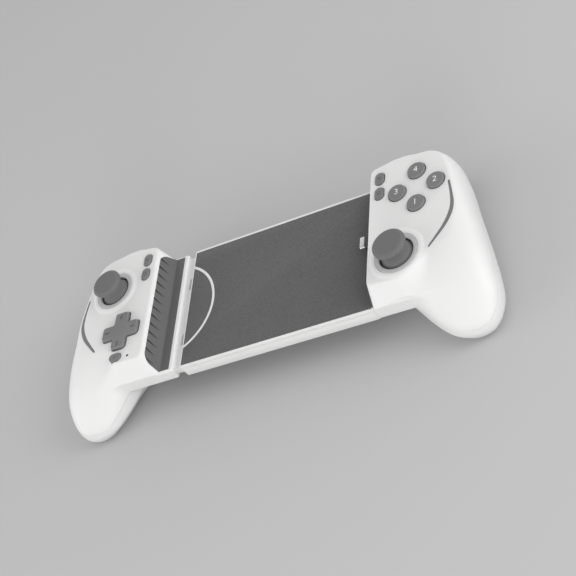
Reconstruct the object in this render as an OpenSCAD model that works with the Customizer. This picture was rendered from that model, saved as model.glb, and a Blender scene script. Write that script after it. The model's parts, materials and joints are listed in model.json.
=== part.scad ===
/* [Layout] */
// Height of the two control faces above the phone bed
face_h = 11.5; // [9:0.5:14]
// Distance from the mid-plane to the inner edge of each control face
face_inner_x = 77; // [74:0.5:82]
// Upper edge of the tray and of both clamp walls
bed_top_y = 42; // [38:0.2:44]
// Lower edge of the tray and of both clamp walls
bed_low_y = -46; // [-49:0.5:-43]
// Thickness of the tray and of the sliding base
bed_t = 9; // [8.4:0.1:10]
// Depth of the flat back of the handles below the phone bed
back_depth = 28; // [27:0.5:29]
// Wall thickness of the moulded shells
wall = 2; // [1.6:0.1:2.4]

/* [Slide] */
// Place of the tray's free end
tray_left_x = -55; // [-58:0.5:-50]
// Gap between the tray and the sliding base when closed
slide_gap = 5.4; // [5:0.2:9]
// Travel of the sliding handle
slide_travel = 50; // [30:1:55]
// Length of the tongue that stays inside the tray when it is pulled out
tongue_grip = 26; // [20:1:36]
// Running clearance around the tongue
slide_clear = 0.3; // [0.2:0.05:0.4]
// Width of the cable channel between the tongue's legs
channel_w = 16; // [12:1:24]
// Width of the two notches on the tongue
notch_w = 8; // [6:0.5:12]
// Distance from the middle line to each notch
notch_y = 21; // [14:0.5:28]
// Depth of the two notches
notch_depth = 0.8; // [0.4:0.1:1.2]

/* [Phone bed] */
// Thickness of the textured pad
pad_t = 1; // [0.6:0.1:1.4]
// Width of the white rim beside the pad
pad_rim = 1.5; // [1:0.1:2.5]
// Radius of the ring inlay on the pad
ring_r = 34.3; // [28:0.1:38]
// Width of the ring inlay
ring_w = 1.7; // [1:0.1:2.5]
// Thickness of the rubber liner on the clamp walls
liner_t = 1.6; // [1.2:0.1:2]
// Number of grooves on each clamp liner
liner_grooves = 13; // [8:1:16]
// Width of the flat ledge of the sliding base
ledge_w = 9; // [8:0.5:11]
// Length of the plug and its nose out of the clamp wall
plug_len = 7.4; // [7:0.1:8]
// Length of bare metal at the plug's tip
plug_bare = 3.2; // [3:0.1:5]
// Width of the plug
plug_w = 8.3; // [8:0.05:8.6]
// Thickness of the plug
plug_t = 2.4; // [2.2:0.05:2.6]
// Height of the plug's middle above the phone bed
plug_z = 4.2; // [3.5:0.1:5]

/* [Face buttons] */
// Diameter of the four face buttons
button_d = 10.8; // [9:0.2:12]
// Distance between opposite face buttons
button_span = 24; // [22:0.5:26]
// Height of the face buttons above the face
button_h = 1.5; // [1:0.1:2.5]
// Travel of the face buttons
button_travel = 1.2; // [0.8:0.1:1.6]
// Width of the small keys
key_w = 5.5; // [4.5:0.1:6.5]
// Length of the small keys
key_len = 8.6; // [7:0.1:10]
// Height of the small keys above the face
key_h = 1; // [0.6:0.1:1.6]
// Travel of the small keys
key_travel = 0.7; // [0.4:0.1:1]
// Clearance around buttons and keys
button_clear = 0.35; // [0.3:0.05:0.5]

/* [Sticks and pad] */
// Diameter of the stick caps
stick_cap_d = 20; // [17:0.5:21]
// Height of the stick caps above the face
stick_h = 11; // [10:0.1:12]
// Depth of the stick pivots below the face
stick_pivot = 9; // [8.5:0.1:10]
// Radius of the dome under each stick cap
stick_dome_r = 12.8; // [12.5:0.1:13]
// Diameter of the hole in each stick ring
stick_hole_d = 21.2; // [20.8:0.1:22]
// Outer diameter of each stick ring
stick_ring_d = 26.2; // [25:0.2:27]
// Press travel of the stick caps
stick_press = 0.5; // [0.3:0.1:0.6]
// Tip to tip size of the direction pad
dpad_span = 26.2; // [24:0.2:28]
// Width of the direction pad's arms
dpad_arm = 9.6; // [8:0.2:11]
// Height of the direction pad above the face
dpad_h = 2; // [1.4:0.1:2.6]

/* [Shoulders] */
// Diameter of the trigger pins
trigger_pin_d = 3; // [2.4:0.1:3.4]
// Running clearance of pins in their bores
pin_clear = 0.05; // [0.02:0.01:0.1]
// Width of each trigger
trigger_w = 32; // [29:0.5:33]
// Reach of each trigger above the trigger pivot
trigger_reach = 14; // [13:0.5:16]

/* [Hidden] */
$fn = 48;
eps = 0.02;

// Larger than the whole part, for cuts that run right through
big = 200;

// Finishes
white = [0.93, 0.93, 0.93];
pale_grey = [0.78, 0.78, 0.78];
mid_grey = [0.44, 0.44, 0.45];
dark_grey = [0.36, 0.36, 0.37];
steel = [0.72, 0.73, 0.75];
board_green = [0.12, 0.32, 0.2];

// Cross-sections of a handle from its top end to its tip:
// y, inner x, outer x, top z, bottom z, and the height where it is widest
handle_rows = [
    [47.6, 87, 112, 13.5, -6, 2.5],
    [46, 82, 119.5, 15.5, -10, 0.5],
    [40, 78, 127, 17, -17, -3],
    [25, 77, 132.6, 17.5, -25.5, -5],
    [5, 77, 136.9, 17.5, -29, -6.6],
    [-12, 78, 140.6, 14, -30, -8.6],
    [-24, 81.5, 143, 11.5, -30.5, -10.5],
    [-36, 90, 144.8, 7.6, -30.5, -13.5],
    [-47, 99, 145.4, 2, -30.5, -16.5],
    [-56, 107, 143.2, -5, -29.5, -18.5],
    [-62, 114, 139.4, -11, -27.5, -19.8],
    [-65, 119.8, 135, -15.3, -24.8, -20.4],
    [-66, 123.4, 131.6, -17.8, -22.8, -20.6]];
handle_slices = 20;
handle_sides = 28;
handle_bulge = 2.66;
handle_back_bulge = 2.1;
handle_inner_bulge = 1.8;
handle_top_y = handle_rows[0][0];
handle_tip_y = handle_rows[len(handle_rows) - 1][0];

// The whole part is moved so that its box stands on z = 0 around the origin
trigger_pivot = [42, -6];
trigger_top_y = trigger_pivot[0] + trigger_reach;
shift_y = -(trigger_top_y + handle_tip_y) / 2;
module placed() translate([0, shift_y, back_depth]) children();

// One side is modelled at positive x and mirrored for the left handle
module on_side(side) mirror([side > 0 ? 0 : 1, 0, 0]) children();

// Places of the controls on a face, with x counted from the mid-plane
button_place = [107, 21.7];
right_stick_place = [95.5, -22];
left_stick_place = [106.5, 20];
dpad_place = [95.6, -14.3];
upper_key_place = [83.4, 37];
lower_key_place = [83.4, 25.8];
menu_key_place = [96.5, -33.6];
light_place = [87.4, -34.3];
ring_place = [-70.8, -1.1];
bed_mid_y = (bed_top_y + bed_low_y) / 2;

// Levels below the control face
face_under = face_h - wall;
board_top = face_h - 14;
board_t = 1.6;
mat_t = 1.2;
mat_gap = 0.3;
stem_low = board_top + mat_t + mat_gap + button_travel;

// How far a window cut runs past the wall
window_cut = 0.5;
pivot_z = face_h - stick_pivot;

// Clamp walls, from their feet on the phone bed up to the face; the fixed one is nearly upright
valley_x = 69.5;
fixed_foot_x = 75;
base_end_x = valley_x - ledge_w;
function foot_x(ledge) = ledge ? valley_x : fixed_foot_x;
function wall_lean(ledge) = (face_inner_x - foot_x(ledge)) / face_h;
end_lean = 0.65;
tray_right_x = 75.6;
block_outer_x = 98;
block_foot_x = 112;

// Value of one column of the handle table at a height y, on a smooth curve through its rows
function row_slope(i, c) =
    let (a = max(i - 1, 0), b = min(i + 1, len(handle_rows) - 1))
    (handle_rows[b][c] - handle_rows[a][c]) / (handle_rows[b][0] - handle_rows[a][0]);
function row_index(y, i = 0) =
    i >= len(handle_rows) - 2 || y >= handle_rows[i + 1][0] ? i : row_index(y, i + 1);
function row_value(y, c) =
    let (i = row_index(y), p = handle_rows[i], q = handle_rows[i + 1],
        d = q[0] - p[0], t = (y - p[0]) / d)
    p[c] * (1 + 2 * t) * (1 - t) * (1 - t) + q[c] * t * t * (3 - 2 * t)
        + d * row_slope(i, c) * t * (1 - t) * (1 - t) - d * row_slope(i + 1, c) * t * t * (1 - t);

// Closed cross-section of the handle, drawn in by inset
function curl(v, bulge) = sign(v) * pow(abs(v), 2 / bulge);
function handle_section(y, inset) =
    let (x0 = row_value(y, 1) + inset, x1 = row_value(y, 2) - inset, xm = (x0 + x1) / 2,
        z0 = row_value(y, 4) + inset, z1 = row_value(y, 3) - inset, zm = row_value(y, 5))
    [for (k = [0 : handle_sides - 1])
        let (c = cos(360 * k / handle_sides), s = sin(360 * k / handle_sides),
            bulge = s > 0 ? handle_bulge : c > 0 ? handle_back_bulge : handle_inner_bulge)
        [xm + curl(c, bulge) * (x1 - x0) / 2, zm + curl(s, bulge) * (s > 0 ? z1 - zm : zm - z0)]];
function slice_y(i, inset) =
    let (top = handle_top_y - inset, tip = handle_tip_y + inset)
    top + (tip - top) * (1 - cos(180 * i / handle_slices)) / 2;

module handle_slice(i, inset)
    translate([0, slice_y(i, inset), 0])
        rotate([90, 0, 0])
            linear_extrude(eps, center = true)
                polygon(handle_section(slice_y(i, inset), inset));

module handle_loft(inset)
    for (i = [0 : handle_slices - 1])
        hull() {
            handle_slice(i, inset);
            handle_slice(i + 1, inset);
        }

// Clamp block that joins the face to the phone bed, drawn in by inset
block_r = 4;
top_rise = 4.2;
base_r = 1.2;
module block_posts(x0, x1, y0, y1, r, h)
    for (x = [x0 + r, x1 - r], y = [y0 + r, y1 - r])
        translate([x, y, 0])
            cylinder(r = r, h = h, $fn = 24);

module clamp_block(inset, extra, foot)
    hull() {
        translate([0, 0, face_h - inset - eps])
            block_posts(face_inner_x + inset + extra, block_outer_x - inset,
                bed_low_y + end_lean * face_h + inset, bed_top_y + top_rise - inset, block_r, eps);
        translate([0, 0, inset - bed_t])
            block_posts(foot + inset + extra, block_foot_x - inset,
                bed_low_y + inset, bed_top_y - inset, base_r, bed_t - 2 * inset);
    }

module ledge_slab(inset)
    hull()
        translate([0, 0, inset - bed_t])
            block_posts(base_end_x + inset, face_inner_x, bed_low_y + inset, bed_top_y - inset,
                base_r, bed_t - inset - (inset > 0 ? liner_t + wall : 0));

// Collar that carries the stick ring where the face falls away
collar_r = 16.2;
collar_foot_r = 19.4;
collar_h = 8;
module stick_collar(inset, place)
    translate([place[0], place[1], face_h - collar_h])
        cylinder(r1 = collar_foot_r - inset, r2 = collar_r - inset, h = collar_h - inset);

// The outer and inner surfaces of a handle; the left one carries the ledge
module handle_body(inset, ledge)
    intersection() {
        union() {
            handle_loft(inset);
            clamp_block(inset, inset > 0 ? liner_t : 0, foot_x(ledge));
            stick_collar(inset, ledge ? left_stick_place : right_stick_place);
            if (ledge)
                ledge_slab(inset);
        }
        translate([0, -big / 2, inset - back_depth])
            cube([big, big, back_depth + face_h - 2 * inset]);
    }

// Seam between front and rear shells: level at the head, falling towards the tip
seam_z = -6;
seam_turn_y = -38;
seam_tip_z = -17;
module front_half()
    rotate([90, 0, 90])
        linear_extrude(big)
            polygon([[big, seam_z], [seam_turn_y, seam_z], [handle_tip_y - 1, seam_tip_z],
                [handle_tip_y - 1, big], [big, big]]);

// Rounded slot shape used by the small keys
module key_shape(w, l, grow)
    for (e = [-1, 1])
        translate([0, e * (l - w) / 2])
            circle(d = w + 2 * grow);
module key_prism(w, l, grow, h)
    linear_extrude(h) {
        key_shape(w, l, grow);
        square([w + 2 * grow, l - w], center = true);
    }

module dpad_shape(grow)
    intersection() {
        union()
            for (a = [0, 90])
                rotate(a)
                    square([dpad_span + 2 * grow, dpad_arm + 2 * grow], center = true);
        circle(d = dpad_span + 2 * grow + dpad_tip_bow, $fn = 96);
    }

// Path of the accent strip seen from the front: x, y and width
accent_path = [[127, 18.5, 1.3], [128.6, 9, 2.2], [129.6, 1.5, 3.4], [128.2, -5, 3.8], [124.5, -12, 3.2],
    [119.5, -18.3, 2.2], [115, -23.7, 1.3]];
module accent_shape(grow)
    for (i = [0 : len(accent_path) - 2])
        hull()
            for (p = [accent_path[i], accent_path[i + 1]])
                translate([p[0], p[1]])
                    circle(d = p[2] + 2 * grow, $fn = 20);

accent_t = 1;
accent_fit = 0.05;
module accent_band(grow)
    intersection() {
        translate([0, 0, seam_z])
            linear_extrude(big)
                accent_shape(grow);
        difference() {
            handle_body(0, false);
            translate([0, 0, -accent_t - grow])
                handle_body(0, false);
        }
    }

// Bays for the bumper and trigger at the top end of a handle
bay_x0 = 86.5;
bay_x1 = bay_x0 + trigger_w + 5;
bay_reach = 30;
bumper_bay_side = 1;
bumper_gap = 0.3;
shelf_z = -1.4;
bumper_top = 7.5;
bumper_back = 43.2;
bumper_pivot = [89.5, 45.4];
bumper_pin_d = 2.5;
bracket_front_y = 46.8;
bay_back = 41.2;
trigger_bay_back = 37.4;
module shoulder_bays() {
    translate([bay_x0 - bumper_bay_side, bay_back, shelf_z])
        cube([bay_x1 - bay_x0 + 2 * bumper_bay_side, bay_reach, bumper_top + bumper_gap - shelf_z]);
    translate([bay_x0, trigger_bay_back, -big])
        cube([bay_x1 - bay_x0, bay_reach, big + shelf_z]);
    translate([bay_x0, trigger_bay_back, shelf_z - eps])
        cube([bay_x1 - bay_x0, bay_back - trigger_bay_back + eps, 3 * eps - shelf_z]);
}

// Walls of the trigger bay, behind and beside the trigger
bay_wall = 0.8;
module bay_walls()
    intersection() {
        handle_body(eps, false);
        translate([bay_x0 - bay_wall, trigger_bay_back - wall, -back_depth])
            cube([bay_x1 - bay_x0 + 2 * bay_wall, bay_reach, back_depth + shelf_z]);
    }

// Assembly screws of a handle
screw_places = [[86, 14], [124, 9], [133, -47]];
screw_d = 2.2;
screw_head_d = 4.4;
screw_head_h = 1.6;
screw_len = 15;
boss_d = 6;
boss_step = 2;
screw_seat = -17;
screw_clear = 0.1;
screw_end_gap = 0.5;
boss_meet_z = screw_seat + 6;

module front_bosses(board_bosses)
    intersection() {
        handle_body(eps, false);
        union() {
            for (p = screw_places)
                translate([p[0], p[1], boss_meet_z])
                    cylinder(d = boss_d, h = face_h - boss_meet_z);
            for (p = board_bosses)
                translate([p[0], p[1], board_top])
                    cylinder(d = board_boss_d, h = face_under - board_top + eps);
            for (p = shelf_bosses)
                translate([p[0], p[1], 0])
                    cylinder(d = shelf_boss_d, h = face_under + eps);
        }
    }
shelf_bosses = [[92, 39], [121, 39]];
shelf_boss_d = 4;
board_boss_d = 5;

module rear_bosses()
    intersection() {
        handle_body(eps, false);
        for (p = screw_places)
            translate([p[0], p[1], -back_depth])
                cylinder(d = boss_d + boss_step, h = back_depth + boss_meet_z - eps);
    }

module screw_holes()
    for (p = screw_places)
        translate([p[0], p[1], screw_seat]) {
            cylinder(d = screw_d + 2 * screw_clear, h = screw_len + screw_end_gap);
            translate([0, 0, -back_depth])
                cylinder(d = screw_head_d + 2 * screw_clear, h = back_depth);
        }

module front_shell(ledge, board_bosses)
    difference() {
        union() {
            difference() {
                intersection() {
                    handle_body(0, ledge);
                    front_half();
                }
                handle_body(wall, ledge);
            }
            intersection() {
                bay_walls();
                front_half();
            }
            intersection() {
                front_bosses(board_bosses);
                union() {
                    front_half();
                    translate([0, -big / 2, boss_meet_z])
                        cube([big, big, big]);
                }
            }
        }
        shoulder_bays();
        screw_holes();
        clamp_liner_solid(false, ledge);
        accent_band(accent_fit);
        children();
    }

module rear_shell(ledge)
    difference() {
        union() {
            difference() {
                handle_body(0, ledge);
                front_half();
                handle_body(wall, ledge);
            }
            difference() {
                bay_walls();
                front_half();
            }
            rear_bosses();
        }
        shoulder_bays();
        screw_holes();
        for (p = screw_places)
            translate([p[0], p[1], boss_meet_z])
                cylinder(d = boss_d + 2 * screw_clear, h = big);
        children();
    }

// Rubber liner of a clamp wall, with an optional flat ledge
liner_top_z = face_h - 2.4;
liner_end = 1.5;
ledge_rim = 2.6;
groove_r = 0.7;
groove_reach = 0.62;
groove_top_end = 3;
groove_low_end = 7;
module clamp_liner_solid(grooved, ledge) {
    foot = foot_x(ledge);
    top_x = foot + wall_lean(ledge) * liner_top_z;
    lean = atan(wall_lean(ledge));
    low = bed_low_y + liner_end;
    high = bed_top_y - liner_end;
    left = base_end_x + ledge_rim;
    step = (high - low - groove_top_end - groove_low_end) / (liner_grooves - 1);
    groove_len = groove_reach * liner_top_z / cos(lean);
    difference() {
        translate([0, high, 0])
            rotate([90, 0, 0])
                linear_extrude(high - low)
                    polygon(concat(
                        [[foot, 0], [top_x, liner_top_z], [top_x + liner_t, liner_top_z]],
                        ledge
                            ? [[foot + liner_t / 2, -liner_t], [left, -liner_t], [left, 0]]
                            : [[foot + liner_t, 0]]));
        translate([0, low, 0])
            rotate([-atan(end_lean), 0, 0])
                translate([0, -big, 0])
                    cube([big, big, big]);
        if (grooved)
            for (i = [0 : liner_grooves - 1])
                translate([top_x, high - groove_top_end - step * i, liner_top_z])
                    rotate([0, 180 + lean, 0])
                        translate([0, 0, -liner_t])
                            cylinder(r = groove_r, h = liner_t + groove_len, $fn = 16);
    }
}

// Stick parts around the pivot at the origin
frame_w = 18;
frame_wall = 1.6;
frame_floor = 1;
frame_over = 0.7;
yoke_gap = 0.7;
yoke_w = frame_w - 2 * frame_wall - 2 * yoke_gap;
yoke_bar = 2;
gimbal_d = 2.4;
gimbal_end = 0.2;
hub_gap = 1.7;
hub_w = yoke_w - 2 * yoke_bar - 2 * hub_gap;
hub_low = 2;
hub_high = 2.8;
stem_d = 4;
stem_seat = 1.6;
neck_r = 4.6;
cap_t = 4.4;
cap_under = stick_pivot + stick_h - cap_t;
stem_top = cap_under + stem_seat;
module stick_frame_solid()
    difference() {
        translate([-frame_w / 2, -frame_w / 2, board_top - pivot_z])
            cube([frame_w, frame_w, pivot_z - board_top + gimbal_d / 2 + frame_over]);
        translate([frame_wall - frame_w / 2, frame_wall - frame_w / 2, board_top - pivot_z + frame_floor])
            cube([frame_w - 2 * frame_wall, frame_w - 2 * frame_wall, 2 * stick_pivot]);
        rotate([0, 90, 0])
            cylinder(d = gimbal_d + 2 * pin_clear, h = 2 * frame_w, center = true);
    }

module stick_yoke_solid()
    difference() {
        union() {
            cube([yoke_w, yoke_w, 2 * yoke_bar], center = true);
            rotate([0, 90, 0])
                cylinder(d = gimbal_d, h = frame_w - 2 * gimbal_end, center = true);
        }
        cube([yoke_w - 2 * yoke_bar, yoke_w - 2 * yoke_bar, yoke_w], center = true);
        rotate([90, 0, 0])
            cylinder(d = gimbal_d + 2 * pin_clear, h = 2 * yoke_w, center = true);
    }

module stick_hub_solid() {
    translate([-hub_w / 2, -hub_w / 2, -hub_low])
        cube([hub_w, hub_w, hub_low + hub_high]);
    rotate([90, 0, 0])
        cylinder(d = gimbal_d, h = yoke_w - 2 * gimbal_end, center = true);
    cylinder(d = stem_d, h = stem_top);
}

dome_low = 7.4;
dome_t = 1.6;
neck_low = stick_dome_r - 1.9 * dome_t;
stem_play = 0.3;

// Outline of the stick cap from neck to middle, in shares of its diameter and thickness
cap_profile = [[neck_r / stick_cap_d, -0.18], [0.35, 0], [0.47, 0.27], [0.5, 0.68], [0.475, 0.8],
    [0.41, 0.95], [0.32, 1], [0, 1]];
module stick_cap_solid()
    difference() {
        union() {
            intersection() {
                difference() {
                    sphere(r = stick_dome_r, $fn = 64);
                    sphere(r = stick_dome_r - dome_t, $fn = 64);
                }
                translate([0, 0, dome_low])
                    cylinder(r = stick_cap_d, h = stick_cap_d);
            }
            rotate_extrude($fn = 64)
                polygon(concat([[0, neck_low], [neck_r, neck_low]],
                    [for (p = cap_profile) [p[0] * stick_cap_d, cap_under + p[1] * cap_t]]));
        }
        cylinder(d = stem_d + 2 * pin_clear, h = stem_top + stick_press + stem_play);
    }

ring_lip = 0.6;
ring_flange = 1;
ring_t = 1;
ring_skirt = 0.8;
ring_fit = 0.1;
module stick_ring_solid(place)
    translate([place[0], place[1], face_h])
        rotate_extrude($fn = 96)
            polygon([[stick_hole_d / 2, -ring_t], [stick_hole_d / 2, ring_lip / 2],
                [stick_hole_d / 2 + ring_lip, ring_lip], [stick_ring_d / 2 - ring_lip, ring_lip],
                [stick_ring_d / 2, 0], [stick_ring_d / 2, -wall],
                [stick_ring_d / 2 + ring_flange, -wall], [stick_ring_d / 2 + ring_flange, -wall - ring_t],
                [stick_ring_d / 2 - ring_skirt, -wall - ring_t], [stick_ring_d / 2 - ring_skirt, -ring_t]]);

module at_stick(place) translate([place[0], place[1], pivot_z]) children();

// A round face button with its flange and stem
flange_t = 0.8;
flange_out = 0.9;
flange_top = face_under - 0.3;
button_edge = 0.5;
button_stem_d = 4;
module face_button(dx, dy)
    translate([button_place[0] + dx * button_span / 2, button_place[1] + dy * button_span / 2, 0]) {
        top = face_h + button_h;
        rotate_extrude($fn = 64)
            polygon([[0, flange_top - flange_t], [button_d / 2 + flange_out, flange_top - flange_t],
                [button_d / 2 + flange_out, flange_top], [button_d / 2, flange_top],
                [button_d / 2, top - button_edge], [button_d / 2 - button_edge, top], [0, top]]);
        translate([0, 0, stem_low])
            cylinder(d = button_stem_d, h = face_under - stem_low);
    }

key_flange = 0.7;
key_stem_d = 3;
key_stem_low = board_top + mat_t + mat_gap + key_travel;
key_pocket_clear = 0.3;
module small_key(place, turn)
    translate([place[0], place[1], 0])
        rotate(turn) {
            translate([0, 0, flange_top])
                key_prism(key_w, key_len, 0, face_h + key_h - flange_top);
            translate([0, 0, flange_top - flange_t])
                key_prism(key_w, key_len + 2 * key_flange, 0, flange_t);
            translate([0, 0, key_stem_low])
                cylinder(d = key_stem_d, h = flange_top - key_stem_low);
        }

module key_window(place, turn)
    translate([place[0], place[1], 0])
        rotate(turn) {
            translate([0, 0, face_under - window_cut])
                key_prism(key_w, key_len, button_clear, wall + 2 * window_cut);
            translate([0, 0, board_top])
                key_prism(key_w, key_len + 2 * key_flange, key_pocket_clear, face_under - board_top);
        }

module stick_window(place)
    translate([place[0], place[1], 0]) {
        translate([0, 0, face_under - window_cut])
            cylinder(d = stick_ring_d + 2 * ring_fit, h = wall + 2 * window_cut, $fn = 96);
        cylinder(d = stick_ring_d + 2 * ring_flange + 2 * button_clear, h = face_under, $fn = 96);
    }

// Circuit boards, key mats and their outlines
right_board_bosses = [[84, 2], [117, 7], [118.5, 33], [82, -35]];
left_board_bosses = [[84, 2], [118, 2], [118.5, 33], [110, -28]];
board_x0 = 79.5;
board_low_y = -37;
board_high_y = 35.3;
board_w = 41;
board_key_w = 5.7;
board_key_len = 4.3;
board_boss_gap = 1;
board_corner = [122, -42];
board_corner_turn = 40;
board_corner_cut = [16, 30];
module board_solid()
    translate([0, 0, board_top - board_t])
        linear_extrude(board_t) {
            difference() {
                translate([board_x0, board_low_y])
                    square([board_w, board_high_y - board_low_y]);
                translate([screw_places[0][0], screw_places[0][1]])
                    circle(d = boss_d + board_boss_gap);
                translate(board_corner)
                    rotate(board_corner_turn)
                        square(board_corner_cut, center = true);
            }
            translate([board_x0, board_high_y - eps])
                square([board_key_w, board_key_len + eps]);
        }

key_mat_r = 1.8;
mat_edge = 1.2;
module key_mat_patch(place, r) translate([place[0], place[1], board_top]) cylinder(r = r, h = mat_t);

// Bracket that carries the bumper and the trigger of one side
ear_t = 1.6;
ear_r = 3.2;
ear_gap = 0.5;
bracket_side_gap = 0.4;
bracket_back_gap = 0.2;
pin_fit = 0.01;
trigger_x0 = bay_x0 + ear_gap + ear_t + bracket_side_gap;
bumper_pin_top = bumper_top - 1.2;
bumper_bore_top = bumper_top - 1;
module shoulder_bracket_solid() {
    difference() {
        union() {
            translate([bay_x0 + bracket_side_gap, trigger_bay_back + bracket_back_gap, shelf_z])
                cube([bay_x1 - bay_x0 - 2 * bracket_side_gap,
                    bracket_front_y - trigger_bay_back - bracket_back_gap, -shelf_z]);
            for (x = [bay_x0 + ear_gap, bay_x1 - ear_gap - ear_t])
                translate([x, trigger_pivot[0], trigger_pivot[1]])
                    rotate([0, 90, 0]) {
                        cylinder(r = ear_r, h = ear_t);
                        translate([trigger_pivot[1] - shelf_z, -ear_r, 0])
                            cube([shelf_z - trigger_pivot[1], 2 * ear_r, ear_t]);
                    }
        }
        translate([0, trigger_pivot[0], trigger_pivot[1]])
            rotate([0, 90, 0])
                cylinder(d = trigger_pin_d + 2 * pin_fit, h = bay_x1);
    }
    translate([bumper_pivot[0], bumper_pivot[1], -eps])
        cylinder(d = bumper_pin_d, h = bumper_pin_top + eps);
}

module trigger_pin_solid()
    translate([bay_x0 + ear_gap, trigger_pivot[0], trigger_pivot[1]])
        rotate([0, 90, 0])
            cylinder(d = trigger_pin_d, h = bay_x1 - bay_x0 - 2 * ear_gap);

// Bumper: a curved bar that swings on an upright pin at its inner end
shoulder_place = [95.5, 2];
bumper_reach_y = 50;
bumper_inner_gap = 0.2;
bumper_outer_gap = 0.8;
bumper_x0 = bay_x0 + bumper_inner_gap;
bumper_x1 = bay_x1 - bumper_outer_gap;
module bumper_solid()
    difference() {
        intersection() {
            translate([bumper_x0, bumper_back, bumper_gap])
                cube([bumper_x1 - bumper_x0, bay_reach, bumper_top - bumper_gap]);
            translate([shoulder_place[0], shoulder_place[1], 0])
                cylinder(r = bumper_reach_y - shoulder_place[1], h = face_h, $fn = 96);
        }
        translate([bumper_pivot[0], bumper_pivot[1], 0])
            cylinder(d = bumper_pin_d + 2 * pin_clear, h = bumper_bore_top);
    }

// Trigger: a curved finger plate with a hub on the trigger pin
trigger_out_r = 18.5;
trigger_in_r = 14.6;
trigger_mid_z = -14;
trigger_low_z = -23;
trigger_high_z = shelf_z - 1.2;
trigger_start = 0.5;
scoop_y = trigger_top_y - trigger_out_r - 2;
scoop_drop = 2.5;
trigger_arm_len = 9;
trigger_arm_t = 3.2;
trigger_arm_drop = 0.6;
hub_r = 3.2;
spring_slot = 7;
spring_slot_over = 1;
module trigger_solid()
    difference() {
        intersection() {
            translate([trigger_x0, 0, 0])
                union() {
                    difference() {
                        intersection() {
                            translate([0, trigger_top_y - trigger_out_r, trigger_mid_z])
                                rotate([0, 90, 0])
                                    cylinder(r = trigger_out_r, h = trigger_w, $fn = 96);
                            translate([-eps, trigger_pivot[0] + trigger_start, trigger_low_z])
                                cube([trigger_w + 2 * eps, bay_reach, trigger_high_z - trigger_low_z]);
                        }
                        translate([-eps, scoop_y, trigger_mid_z - scoop_drop])
                            rotate([0, 90, 0])
                                cylinder(r = trigger_in_r, h = trigger_w + 2 * eps, $fn = 96);
                    }
                    translate([0, trigger_pivot[0], trigger_pivot[1]])
                        rotate([0, 90, 0])
                            cylinder(r = hub_r, h = trigger_w);
                    translate([0, trigger_pivot[0], trigger_pivot[1] - trigger_arm_drop])
                        cube([trigger_w, trigger_arm_len, trigger_arm_t]);
                }
            translate([shoulder_place[0], shoulder_place[1], trigger_low_z - eps])
                cylinder(r = trigger_top_y - shoulder_place[1], h = -trigger_low_z, $fn = 96);
        }
        translate([0, trigger_pivot[0], trigger_pivot[1]])
            rotate([0, 90, 0])
                cylinder(d = trigger_pin_d + 2 * pin_clear, h = bay_x1);
        translate([trigger_x0 + (trigger_w - spring_slot) / 2, trigger_pivot[0], trigger_pivot[1]])
            rotate([0, 90, 0])
                cylinder(r = hub_r + spring_slot_over, h = spring_slot);
    }

// A round wire along a helix about the x axis, as one closed tube
function helix_point(r, pitch, a) = [pitch * a / 360, r * cos(a), r * sin(a)];
module coil(r, wire, turns, pitch, steps, sides) {
    count = turns * steps;
    points = [for (i = [0 : count], k = [0 : sides - 1])
        let (a = 360 * i / steps, b = 360 * k / sides)
        helix_point(r + wire / 2 * cos(b), pitch, a) + [wire / 2 * sin(b), 0, 0]];
    walls = [for (i = [0 : count - 1], k = [0 : sides - 1], half = [0, 1])
        let (n = (k + 1) % sides, p = i * sides, q = p + sides)
        half == 0 ? [p + k, p + n, q + n] : [p + k, q + n, q + k]];
    caps = concat([for (k = [1 : sides - 2]) [0, k + 1, k]],
        [for (k = [1 : sides - 2]) [count * sides, count * sides + k, count * sides + k + 1]]);
    polyhedron(points, concat(walls, caps));
}

trigger_wire = 0.7;
trigger_turns = 4;
trigger_pitch = 1.2;
trigger_coil_gap = 0.8;
trigger_coil_x = trigger_x0 + (trigger_w - trigger_turns * trigger_pitch) / 2;
module trigger_spring_solid()
    translate([trigger_coil_x, trigger_pivot[0], trigger_pivot[1]])
        coil(trigger_pin_d / 2 + trigger_coil_gap, trigger_wire, trigger_turns, trigger_pitch, 12, 6);

module handle_screws()
    for (p = screw_places)
        translate([p[0], p[1], screw_seat]) {
            translate([0, 0, -screw_head_h])
                cylinder(d = screw_head_d, h = screw_head_h);
            cylinder(d = screw_d, h = screw_len);
        }

// Sub-parts of the right handle
module right_front_shell() color(white) difference() {
    front_shell(false, right_board_bosses) {
        for (d = [[0, 1], [1, 0], [0, -1], [-1, 0]])
            translate([button_place[0] + d[0] * button_span / 2, button_place[1] + d[1] * button_span / 2,
                face_under - window_cut])
                cylinder(d = button_d + 2 * button_clear, h = wall + 2 * window_cut, $fn = 64);
        key_window(upper_key_place, 0);
        key_window(lower_key_place, 0);
        stick_window(right_stick_place);
        plug_window();
    }
    tray_room();
}
module right_rear_shell() color(white) rear_shell(false) tray_room();
module right_clamp_liner() color(mid_grey) difference() {
    clamp_liner_solid(true, false);
    plug_window();
}
module right_accent_strip() color(mid_grey) accent_band(0);
module right_stick_ring() color(pale_grey) stick_ring_solid(right_stick_place);
module right_stick_frame() color(steel) at_stick(right_stick_place) stick_frame_solid();
module right_stick_yoke() color(dark_grey) at_stick(right_stick_place) stick_yoke_solid();
module right_stick_hub() color(dark_grey) at_stick(right_stick_place) stick_hub_solid();
module right_stick_cap() color(mid_grey) at_stick(right_stick_place) stick_cap_solid();
module button_top() color(mid_grey) face_button(0, 1);
module button_right() color(mid_grey) face_button(1, 0);
module button_bottom() color(mid_grey) face_button(0, -1);
module button_left() color(mid_grey) face_button(-1, 0);
module right_upper_key() color(mid_grey) small_key(upper_key_place, 0);
module right_lower_key() color(mid_grey) small_key(lower_key_place, 0);
module right_board() color(board_green) board_solid();
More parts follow.
